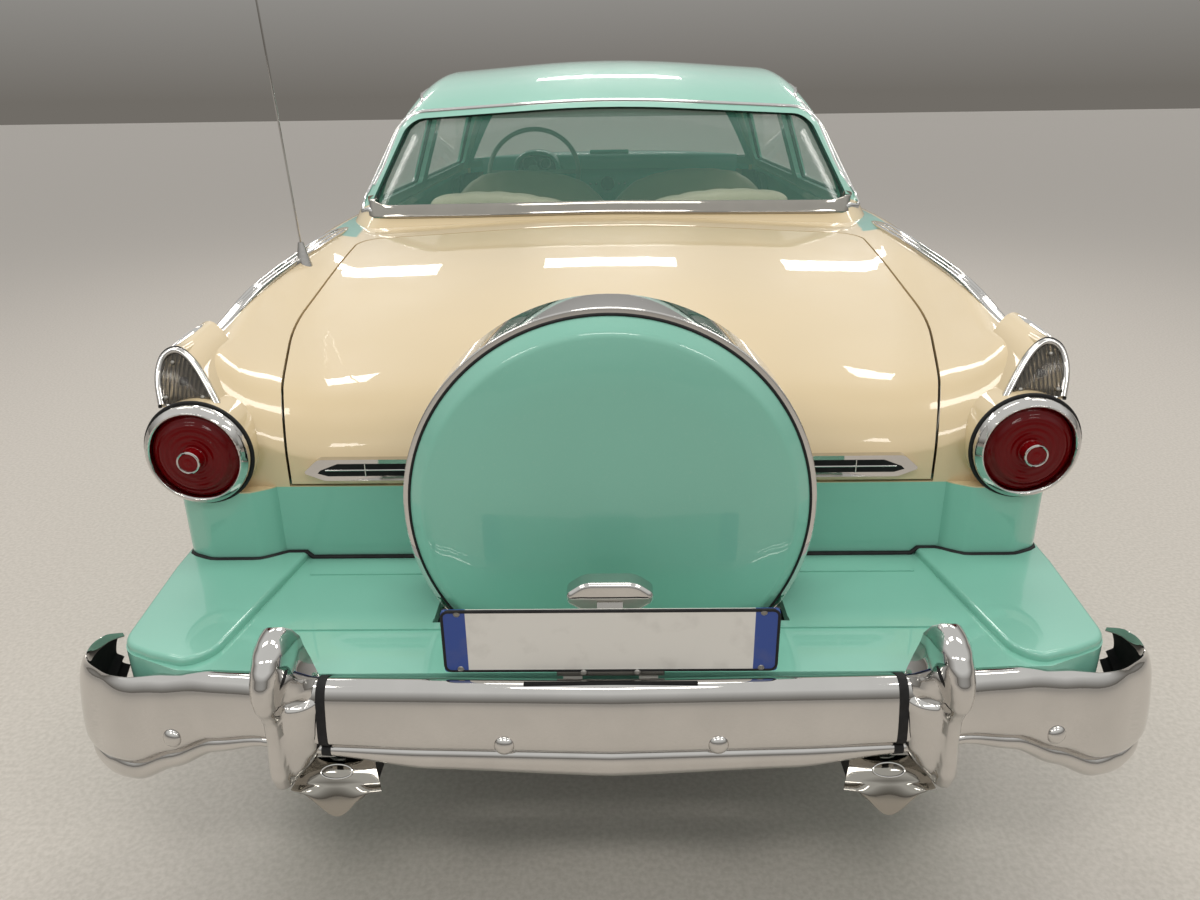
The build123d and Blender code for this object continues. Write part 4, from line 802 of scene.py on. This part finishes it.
# spare wheel kit: the pan's rear corners go back, and seals close the seams
pan = {"back": 0.050, "outer": (0.54, 0.74), "rear": (2.36, 2.50)}
for v in bpy.data.objects["kit_panSkin"].data.vertices:
    v.co.y -= pan["back"] * eased(*pan["outer"], abs(v.co.x)) * eased(*pan["rear"], -v.co.y)
panSeal = {"x": -0.846, "start": (-2.9, 0.580), "step": 0.012, "points": 142, "proud": 0.003, "shoulder": 0.60,
           "heights": (0.5625, 0.574), "radius": 0.0055,
           "runs": ((-0.85, -0.31, "left"), (0.31, 0.85, "right"))}
path = []
for k in range(panSeal["points"]):
    hit, _ = castOn(bodySkin, (panSeal["x"] + panSeal["step"] * k, *panSeal["start"]), (0, 1, 0))
    if hit is not None:
        z = panSeal["heights"][abs(hit.x) > panSeal["shoulder"]]
        path.append(Vector((hit.x, hit.y - panSeal["proud"], z)))
for low, high, word in panSeal["runs"]:
    run = [p for p in path if low < p.x < high]
    strip(f"pan_seal_{word}", run, upward, roundSection(panSeal["radius"]), rubber)
discSeal = {"centre": (0.0, 0.754), "radius": 0.3425, "points": 160, "y": -2.432, "thick": 0.0028}
strip("kit_disc_seal", *ringPath(discSeal["centre"], discSeal["radius"], discSeal["points"], discSeal["y"]),
      roundSection(discSeal["thick"]), rubber, closed=True)
print("kit dressed")

# slots in the boot lid's bright trims: a dark plate in each is painted shade in the slot, crossed by bright
# bars
trimSlot = {"face": -2.2452, "low": 0.7435, "high": 0.7685, "inner": 0.352, "outer": 0.560, "step": 0.01,
            "depths": (0.004, -0.0004), "bar": (0.00352, 0.00224), "dividers": (0.382, 0.467)}
low, high, inner, outer, face = (trimSlot[key] for key in ("low", "high", "inner", "outer", "face"))
slotShape = [(inner, low), (outer - 0.020, low), (outer, low + 0.006), (outer - 0.006, low + 0.012),
             (outer - 0.040, high), (inner, high)]
slotBars = [[(inner, (low + high) / 2), (outer - 0.016, (low + high) / 2)]]
slotBars += [[(x, low), (x, high)] for x in trimSlot["dividers"]]
for side, word in sides:
    rows = [[Vector((side * x, face + d, z)) for x, z in slotShape] for d in trimSlot["depths"]]
    # the dark plate is painted shade in the slot
    newPiece(f"boot_trim_slot_{word}", loft(rows), blackAndShade, "boot_lid", 20)
    for i, bar in enumerate(slotBars):
        path = spaced([(side * x, face + trimSlot["depths"][1], z) for x, z in bar], trimSlot["step"])
        strip(f"boot_trim_bar_{word}{i}", path, rearward, halfRound(*trimSlot["bar"]), chrome, "boot_lid")

# number plate
plate = {"half": (0.2585, 0.0535), "corner": 0.010, "z": 0.632, "y": -2.6405, "rim": 0.0028, "steps": 6,
         "screws": [(-0.235, 0.682), (0.235, 0.682), (-0.235, 0.582), (0.235, 0.582)], "screw": (0.006, 0.0035)}
path, (wide, tall), corner = [], plate["half"], plate["corner"]
for quarter, (sx, sz) in enumerate(((1, 1), (-1, 1), (-1, -1), (1, -1))):
    for i in range(plate["steps"] + 1):
        angle = (quarter + i / plate["steps"]) * pi / 2
        path.append(Vector((sx * (wide - corner) + cos(angle) * corner, plate["y"],
                            plate["z"] + (sz * (tall - corner) + sin(angle) * corner))))
strip("plate_rim", path, rearward, roundSection(plate["rim"], 8), rubber, closed=True)
studs("plate_screws", [(Vector((x, plate["y"], z)), rearward) for x, z in plate["screws"]], *plate["screw"],
      steel)

# bumpers: levels are the reach from the middle, and the heights of the top, the crease and the lower edge there
bumper = {"metal": 0.003, "shadeLining": 0.001, "joint": 0.452, "gap": 0.002, "bends": [0.9, 0.15, 0.09],
          "plan": [(0, 0), (0.500, 0.012), (0.815, 0.070), (0.930, 0.155), (0.908, 0.262)], "beyond": 1.2,
          "bolts": [(0.715, 0.452), (0.162, 0.474)], "boltSize": (0.0165, 0.010), "boltStand": 0.0255,
          "boltTilt": 0.05, "straight": 0.6, "tuckFrom": 0.74, "tuckOver": 0.12, "tuck": 0.9, "step": 0.006}
guardShape = {"step": 0.005, "half": 22, "rib": 2.4, "bladeTop": 0.545, "blunt": (4, 1.5)}
rearBlade = {"y": -2.668, "away": -1, "marks": (0.571, 0.453, 0.399), "section": [
    (-0.030, 0.556), (-0.020, 0.567), (-0.004, 0.571), (0.008, 0.562), (0.016, 0.545), (0.021, 0.522),
    (0.025, 0.496), (0.027, 0.474), (0.026, 0.463), (0.018, 0.456), (0.012, 0.453), (0.017, 0.449),
    (0.0215, 0.437), (0.021, 0.419), (0.012, 0.404), (-0.008, 0.399)],
    "levels": [(0, 0.571, 0.453, 0.399), (0.30, 0.571, 0.456, 0.410), (0.45, 0.571, 0.462, 0.438),
               (0.56, 0.571, 0.470, 0.446), (0.65, 0.565, 0.452, 0.420), (0.73, 0.550, 0.414, 0.376),
               (0.81, 0.536, 0.377, 0.335), (0.88, 0.527, 0.360, 0.316), (0.94, 0.524, 0.364, 0.322),
               (0.99, 0.524, 0.385, 0.348), (1.02, 0.520, 0.410, 0.380), (1.04, 0.512, 0.430, 0.405),
               (1.055, 0.500, 0.446, 0.428), (1.20, 0.480, 0.458, 0.448)]}
frontBlade = {"y": 2.700, "away": 1, "marks": (0.558, 0.455, 0.398), "section": [
    (-0.028, 0.546), (-0.020, 0.556), (-0.004, 0.558), (0.007, 0.546), (0.014, 0.520), (0.019, 0.488),
    (0.021, 0.458), (0.018, 0.430), (0.011, 0.411), (-0.006, 0.398)],
    "levels": [(0, 0.558, 0.455, 0.398), (0.80, 0.555, 0.455, 0.398), (0.92, 0.548, 0.452, 0.400),
               (1.00, 0.532, 0.450, 0.408), (1.04, 0.505, 0.448, 0.425), (1.20, 0.480, 0.448, 0.436)]}


def bentPath(corners, bends, step=0.012):       # straight runs with rounded bends, and the outward side
    points = [Vector((*corners[0], 0))]
    for i, bend in enumerate(bends):
        a, b, c = (Vector((*corners[i + k], 0)) for k in range(3))
        into, out = (b - a).normalized(), (c - b).normalized()
        half = into.angle(out) / 2
        reach = bend * sin(half) / cos(half)
        start, finish = b - into * reach, b + out * reach
        count = max(4, round(bend * half * 2 / step))
        for t in (k / count for k in range(count + 1)):
            points.append(start.lerp(b, t).lerp(b.lerp(finish, t), t))
    even = spaced(points + [Vector((*corners[-1], 0))], step)
    alongs = [(even[min(i + 1, len(even) - 1)] - even[max(i - 1, 0)]).normalized() for i in range(len(even))]
    return even, [Vector((along.y, -along.x, 0)) for along in alongs]


def levelAt(levels, reach):
    for (a, *low), (b, *high) in zip(levels, levels[1:]):
        if reach <= b:
            t = max(0, (reach - a) / (b - a))
            t = t * t * (3 - 2 * t) * 0.5 + t * 0.5
            return [p + (q - p) * t for p, q in zip(low, high)]
    return levels[-1][1:]


plan, outward = bentPath(bumper["plan"], bumper["bends"])
stations = []                        # along the plan: the point, its outward side and the reach from the middle
for i, (p, away) in enumerate(zip(plan, outward)):
    stations.append((p, away, stations[-1][2] + (p - plan[i - 1]).length if i else 0))


def stationAt(x):
    for (p, a, r), (q, b, w) in zip(stations, stations[1:]):
        if p.x <= x <= q.x:
            t = (x - p.x) / (q.x - p.x)
            return p.lerp(q, t), a.lerp(b, t), r + (w - r) * t


def bladeRows(spec, thickness, sunk, xFrom, xTo, side):
    chosen = [station for station in stations if station[0].x > xFrom + 1e-4 and
              (xTo > 1 or station[0].x < xTo - 1e-4 and station[2] < bumper["straight"])]
    chosen = [stationAt(max(xFrom, 1e-6))] + chosen + ([stationAt(xTo)] if xTo < 1 else [])
    smooth = curvedThrough([(a, 0, z) for a, z in spec["section"]], bumper["step"])
    outline, inner = [], []
    for i, p in enumerate(smooth):
        along = (smooth[min(i + 1, len(smooth) - 1)] - smooth[max(i - 1, 0)]).normalized()
        away = Vector((-along.z, 0, along.x))
        outline.append(p - away * sunk)
        inner.append(p - away * (sunk + thickness))
    top, crease, bottom = spec["marks"]
    rows = []
    for p, away, reach in chosen:
        levels = levelAt(spec["levels"], reach)
        lip = 1 - bumper["tuck"] * min(1.0, max(0.0, (reach - bumper["tuckFrom"]) / bumper["tuckOver"]))
        row = []
        for q in outline + inner[::-1]:
            if q.z > crease:
                z = levels[1] + (q.z - crease) / (top - crease) * (levels[0] - levels[1])
            else:
                z = levels[1] + (q.z - crease) / (crease - bottom) * (levels[1] - levels[2])
            spot = p + away * (q.x if q.x > 0 else q.x * lip)
            row.append(Vector((side * spot.x, spec["y"] - spec["away"] * spot.y, z)))
        rows.append(row)
    return rows


def blade(name, spec, xFrom, xTo, side):        # side 0 is from one side of the car to the other
    # each blade is chrome outside, with a thin black sheet inside it as painted shade in its hollow
    for word, thickness, sunk, material in (("", bumper["metal"], 0, chrome),
                                            ("_inside", bumper["shadeLining"], bumper["metal"], blackAndShade)):
        rows = bladeRows(spec, thickness, sunk, xFrom, xTo, side or 1)
        if not side:
            rows = bladeRows(spec, thickness, sunk, xFrom, xTo, -1)[:0:-1] + rows
        newPiece(name + word, loft(rows), material, angle=50)


def guard(name, spec, levels):       # plans, stacked from the foot to the rounded top
    stacked, half = [], guardShape["half"]
    for low, high in zip(levels, levels[1:]):
        count = max(1, round((high[0] - low[0]) / guardShape["step"]))
        stacked += [tuple(p + (q - p) * k / count for p, q in zip(low, high)) for k in range(count)]
    rows = []
    for z, ridge, outer, bar, web, out, low, back in stacked + [levels[-1]]:
        row = [(ridge + outer, back, z)]
        for k in range(half * 2 + 1):
            d = outer * cos(pi * k / (half * 2)) if k < half else -web * abs(cos(pi * k / (half * 2)))
            rib = max(0.0, 1 - (abs(d) / (outer if d > 0 else bar)) ** guardShape["rib"]) ** 0.5
            blunt = guardShape["blunt"][z >= guardShape["bladeTop"]]
            skirt = max(0.0, 1 - (max(0.0, -d) / web) ** blunt) if d <= 0 else 0
            row.append((ridge + d, back + max((out - back) * rib, (low - back) * skirt), z))
        rows.append(row + [(ridge - web, back, z)])
    for side, word in sides:
        form = loft([[Vector((side * x, spec["y"] + spec["away"] * a, z)) for x, a, z in row] for row in rows])
        newPiece(f"{name}_{word}", form, chrome, angle=60)


# guards from the foot up: height, ridge, outer and inner half widths, web, ridge's reach, web's reach and back
rearGuard = [(0.392, 0.524, 0.012, 0.012, 0.014, 0.020, 0.012, -0.004),
             (0.398, 0.524, 0.018, 0.018, 0.022, 0.034, 0.018, -0.004),
             (0.425, 0.523, 0.022, 0.022, 0.044, 0.045, 0.026, -0.002),
             (0.455, 0.522, 0.020, 0.020, 0.062, 0.047, 0.029, 0.0),
             (0.490, 0.521, 0.018, 0.017, 0.067, 0.045, 0.031, 0.0),
             (0.530, 0.520, 0.019, 0.018, 0.068, 0.047, 0.030, -0.002),
             (0.548, 0.520, 0.022, 0.021, 0.068, 0.054, 0.027, -0.008),
             (0.562, 0.520, 0.029, 0.026, 0.066, 0.061, 0.046, -0.018),
             (0.580, 0.520, 0.033, 0.029, 0.058, 0.063, 0.052, -0.026),
             (0.602, 0.519, 0.034, 0.031, 0.047, 0.060, 0.050, -0.032),
             (0.622, 0.518, 0.033, 0.032, 0.038, 0.051, 0.040, -0.034),
             (0.640, 0.517, 0.030, 0.030, 0.033, 0.037, 0.024, -0.034),
             (0.654, 0.516, 0.022, 0.022, 0.023, 0.018, 0.004, -0.030),
             (0.662, 0.516, 0.011, 0.011, 0.012, -0.002, -0.014, -0.024),
             (0.664, 0.516, 0.004, 0.004, 0.004, -0.012, -0.016, -0.020)]
frontGuard = [(z, 0.330, width, width, *rest) for z, width, *rest in (
    (0.400, 0.016, 0.018, 0.008, 0.004, -0.006), (0.410, 0.028, 0.030, 0.026, 0.008, -0.006),
    (0.450, 0.034, 0.036, 0.034, 0.012, 0.0), (0.520, 0.038, 0.040, 0.034, 0.012, -0.004),
    (0.565, 0.039, 0.041, 0.030, 0.006, -0.014), (0.600, 0.036, 0.038, 0.020, 0.0, -0.020),
    (0.625, 0.028, 0.029, 0.008, -0.006, -0.020), (0.638, 0.012, 0.012, -0.006, -0.012, -0.018))]
seam = {"thick": 0.006, "proud": 0.0016, "half": 0.007}
joint, gap, beyond = bumper["joint"], bumper["gap"], bumper["beyond"]
blade("rear_bumper_blade", rearBlade, 0, joint - gap, 0)
for side, word in sides:
    blade(f"rear_bumper_end_{word}", rearBlade, joint + gap, beyond, side)
    rows = bladeRows(rearBlade, seam["thick"], -seam["proud"], joint - seam["half"], joint + seam["half"], side)
    newPiece(f"bumper_joint_{word}", loft(rows), rubber)
blade("front_bumper_blade", frontBlade, 0, beyond, 0)
guard("rear_guard", rearBlade, rearGuard)
guard("front_guard", frontBlade, frontGuard)
for piece, node in (("rear_bumper_blade", "rear_bumper"), ("rear_bumper_end_left", "rear_bumper_ends"),
                    ("front_bumper_blade", "front_bumper")):
    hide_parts(node)


def block(name, low, high, material, bevel=0.003):
    points = [(x, y, z) for x in (low[0], high[0]) for y in (low[1], high[1]) for z in (low[2], high[2])]
    faces = [(0, 1, 3, 2), (4, 6, 7, 5), (0, 4, 5, 1), (2, 3, 7, 6), (0, 2, 6, 4), (1, 5, 7, 3)]
    newPiece(name, (points, faces), material, angle=35, bevel=bevel)


arms = {"rear": ((-2.668, 0.452), (-2.628, 0.500)), "front": ((2.590, 0.392), (2.694, 0.410))}
armSides, topSlot = (0.400, 0.450), ((-0.135, -2.6675, 0.5675), (0.135, -2.6605, 0.5722))
bracket = {"low": (-0.085, -2.640, 0.566), "high": (0.085, -2.632, 0.584), "boltX": (-0.042, 0.042),
           "boltY": -2.640, "boltZ": 0.576, "bolt": (0.007, 0.005)}
leaning = Vector((0, -0.7, 0.7))
for side, word in sides:
    near, far = sorted(side * x for x in armSides)
    for end, (low, high) in arms.items():
        block(f"{end}_bumper_arm_{word}", (near, *low), (far, *high), underSeal)
spots = []
for x, z in bumper["bolts"]:
    p, away, _ = min(stations, key=lambda station: abs(station[0].x - x))
    p = p + away * bumper["boltStand"]
    spots += [(Vector((side * p.x, rearBlade["y"] + p.y, z)),
               Vector((side * away.x, away.y, bumper["boltTilt"]))) for side, _ in sides]
studs("bumper_bolts", spots, *bumper["boltSize"], chrome)
# a dark block on the bumper's top: painted shade in its slot
block("bumper_top_slot", *topSlot, blackAndShade, 0.001)
block("plate_bracket", bracket["low"], bracket["high"], steel, 0.002)
spots = [(Vector((x, bracket["boltY"], bracket["boltZ"])), leaning) for x in bracket["boltX"]]
studs("plate_bracket_bolts", spots, *bracket["bolt"], steel)
print("bumpers made")

# exhaust tips: a flat plate over the pipe that curls down behind it to a scalloped lip
tip = {"x": 0.447, "top": (-2.640, 0.410), "edge": (-2.670, 0.379), "near": 0.058, "far": 0.071, "flare": 0.004,
       "curl": 0.016, "lobe": 0.046, "lobeHalf": 0.80, "sides": 0.005, "bulge": 0.012, "metal": 0.002,
       "turn": 0.5, "widening": 1.4, "lobePower": 1.1, "dropPower": 1.2, "across": 40, "down": 28,
       "oval": (0.40, 0.13), "ovalAt": 0.27, "ovalSteps": 48, "ovalRadius": 0.0014, "ovalProud": 0.0008}
pipeEnd = {"from": 2.56, "to": 2.62, "z": 0.352, "flatter": 0.55, "slimmer": 0.35, "last": -2.656}


def tipPoint(u, v, depth):           # u goes across the plate, and v along it and down its curled edge
    flat, fall = min(1, v / tip["turn"]), max(0, (v - tip["turn"]) / (1 - tip["turn"]))
    half = tip["near"] + (tip["far"] - tip["near"]) * flat ** tip["widening"] + tip["flare"] * fall
    lobe = (0.5 + 0.5 * cos(min(1, abs(u) / tip["lobeHalf"]) * pi)) ** tip["lobePower"]
    drop = tip["sides"] + tip["lobe"] * lobe
    bulge = tip["bulge"] * (1 - u * u) * sin(pi * flat * 0.8)
    (yTop, zTop), (yEdge, zEdge) = tip["top"], tip["edge"]
    y = yTop + (yEdge - yTop) * flat - tip["curl"] * sin(fall * pi / 2.2) * (1 - 0.4 * u * u)
    z = zTop + (zEdge - zTop) * flat + bulge * 0.5 - drop * fall ** tip["dropPower"]
    return Vector((u * half, y - bulge * 0.5 + depth * 0.7, z - depth * (1 - 0.7 * fall)))


for v in bpy.data.objects["exhaustSkin"].data.vertices:
    share = eased(pipeEnd["from"], pipeEnd["to"], -v.co.y)
    v.co.z += (pipeEnd["z"] - v.co.z) * pipeEnd["flatter"] * share
    v.co.x -= (v.co.x - (tip["x"] if v.co.x > 0 else -tip["x"])) * pipeEnd["slimmer"] * share
    v.co.y = max(v.co.y, pipeEnd["last"])
for side, word in sides:
    rows, wide = [], tip["across"]
    for v in (k / tip["down"] for k in range(tip["down"] + 1)):
        top = [tipPoint(-1 + 2 * j / wide, v, 0) for j in range(wide + 1)]
        under = [tipPoint(1 - 2 * j / wide, v, tip["metal"]) for j in range(wide + 1)]
        rows.append([Vector((side * tip["x"] + p.x, p.y, p.z)) for p in top + under])
    # the tips' chrome is darkened: a painted dark reflection
    newPiece(f"exhaust_tip_{word}", loft(rows), shadedChrome, angle=50)
    turns = [tau * i / tip["ovalSteps"] for i in range(tip["ovalSteps"])]
    oval = [tipPoint(cos(a) * tip["oval"][0], tip["ovalAt"] + sin(a) * tip["oval"][1], 0) for a in turns]
    path = [Vector((side * tip["x"] + p.x, p.y - tip["ovalProud"], p.z + tip["ovalProud"])) for p in oval]
    strip(f"exhaust_tip_oval_{word}", path, leaning, roundSection(tip["ovalRadius"], 6), chrome, closed=True)
print("exhaust tips made")

# dashboard top, instrument hood and knobs
dash = {"half": 0.655, "near": 1.032, "far": 1.212, "steps": 48, "bow": (0.150, 2.4), "fall": (0.020, 3),
        "step": 0.008, "section": [
            (1.212, 1.058), (1.212, 1.116), (1.190, 1.132), (1.140, 1.141), (1.085, 1.139), (1.050, 1.127),
            (1.034, 1.102), (1.040, 1.058)]}
slats = {"count": 5, "points": 9, "from": (-0.10, 1.062, 1.1335), "along": 0.025, "apart": (0.018, 0.0015),
         "section": (0.007, 0.008, 0.004), "facing": Vector((0, -0.3, 0.95)).normalized()}
hood = {"x": -0.368, "z": 1.050, "steps": 28, "power": 0.62, "rows": (
    (0.962, 0.096, 0.086), (0.945, 0.100, 0.092), (0.938, 0.112, 0.104), (0.948, 0.117, 0.110),
    (1.02, 0.118, 0.110), (1.09, 0.112, 0.100), (1.16, 0.096, 0.078)),
    "face": ((0.960, 0.098, 0.090), (0.964, 0.098, 0.090))}
dial = {"z": 1.094, "y": 0.958, "steps": 40, "rim": (0.0022, 8), "places": ((-0.405, 0.036), (-0.325, 0.026))}
knobs = {"y": 1.044, "z": 0.985, "knobs": ((-0.010,), 0.036, 0.026, blackAndShade),
         "buttons": ((-0.10, -0.07, 0.05, 0.08), 0.008, 0.012, chrome)}
section = curvedThrough([(0, y, z) for y, z in dash["section"]], dash["step"])
rows, half, near, far = [], dash["half"], dash["near"], dash["far"]
(bow, bowPower), (drop, dropPower) = dash["bow"], dash["fall"]
for k in range(dash["steps"] + 1):
    x = -half + 2 * half * k / dash["steps"]
    share = (far - bow * (abs(x) / half) ** bowPower - near) / (far - near)
    fall = drop * (abs(x) / half) ** dropPower
    rows.append([Vector((x, near + (p.y - near) * share, p.z - fall)) for p in section])
newPiece("dash_top_pad", loft(rows), dashPaint, angle=50)
for k in range(slats["count"]):
    (x, y, z), (back, up) = slats["from"], slats["apart"]
    path = [Vector((x + slats["along"] * j, y + back * k, z + up * k)) for j in range(slats["points"])]
    strip(f"speaker_slat{k}", path, slats["facing"], halfRound(*slats["section"]), dashPaint)


def hoodRow(y, wide, tall):
    angles = [pi * k / hood["steps"] for k in range(hood["steps"] + 1)]
    return [Vector((hood["x"] + wide * cos(a), y, hood["z"] + tall * max(0.0, sin(a)) ** hood["power"]))
            for a in angles]


newPiece("instrument_hood", loft([hoodRow(*row) for row in hood["rows"]], caps=False), dashPaint, angle=50)
newPiece("instrument_face", loft([hoodRow(*row) for row in hood["face"]]), blackAndShade)
for x, size in dial["places"]:
    strip(f"dial_rim{round(-x * 1000)}", *ringPath((x, dial["z"]), size, dial["steps"], dial["y"]),
          roundSection(*dial["rim"]), stainless, closed=True)
for part in ("knobs", "buttons"):
    places, *shape = knobs[part]
    studs(f"dash_{part}", [(Vector((x, knobs["y"], knobs["z"])), rearward) for x in places], *shape)
print("dashboard dressed")

# seats: each dome is the heights it grows between, its middle, rise, fall, power and least lift
seat = {"voxel": 0.010, "smoothing": 10, "swell": 0.004, "pleat": 0.0035, "pleats": 7, "pleated": (0.06, 0.64),
        "pleatPower": 0.6, "fill": 0.85, "domeHalf": 0.34,
        "frontDome": (0.80, 1.09, 0.37, 0.030, 0.085, 2.2, -0.055),
        "rearDome": (0.92, 1.06, 0.40, 0.066, 0.060, 2, 0.0)}


def swellAt(point):                  # channels down the backs and over the cushion
    near, far = seat["pleated"]
    side = abs(point.x)
    if not near < side < far:
        return seat["swell"]
    wave = abs(sin((side - near) / (far - near) * pi * seat["pleats"])) ** seat["pleatPower"]
    return seat["swell"] + (seat["pleat"] * wave - seat["pleat"])


def domeAt(point, low, high, middle, rise, fall, power, least):      # each back is highest in its middle
    away = abs(abs(point.x) - middle) / seat["domeHalf"]
    return eased(low, high, point.z) * max(least, rise - fall * away ** power)


def paddedSeat(name, node, finish, dome):
    mesh = nodes[node].data.copy()
    bm = bmesh.new()
    bm.from_mesh(mesh)
    bmesh.ops.remove_doubles(bm, verts=bm.verts, dist=2e-5)
    bm.to_mesh(mesh)
    bm.free()
    obj = added(name, mesh)
    remesh = obj.modifiers.new("even", "REMESH")
    remesh.mode, remesh.voxel_size = "VOXEL", seat["voxel"]
    even = evaluated(obj)
    bm = bmesh.new()
    bm.from_mesh(even)
    for _ in range(seat["smoothing"]):
        bmesh.ops.smooth_vert(bm, verts=bm.verts, factor=0.5, use_axis_x=True, use_axis_y=True, use_axis_z=True)
    bm.normal_update()
    for v in bm.verts:
        v.co += v.normal * swellAt(v.co) + Vector((0, 0, domeAt(v.co, *dome)))
    bm.to_mesh(even)
    bm.free()
    even.shade_smooth()
    settle(obj, "car", finish)
    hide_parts(node)


paddedSeat("front_seat_pads", "front_seat", hide, seat["frontDome"])
paddedSeat("rear_seat_pads", "rear_seat", paleHide, seat["rearDome"])
print("seats padded")
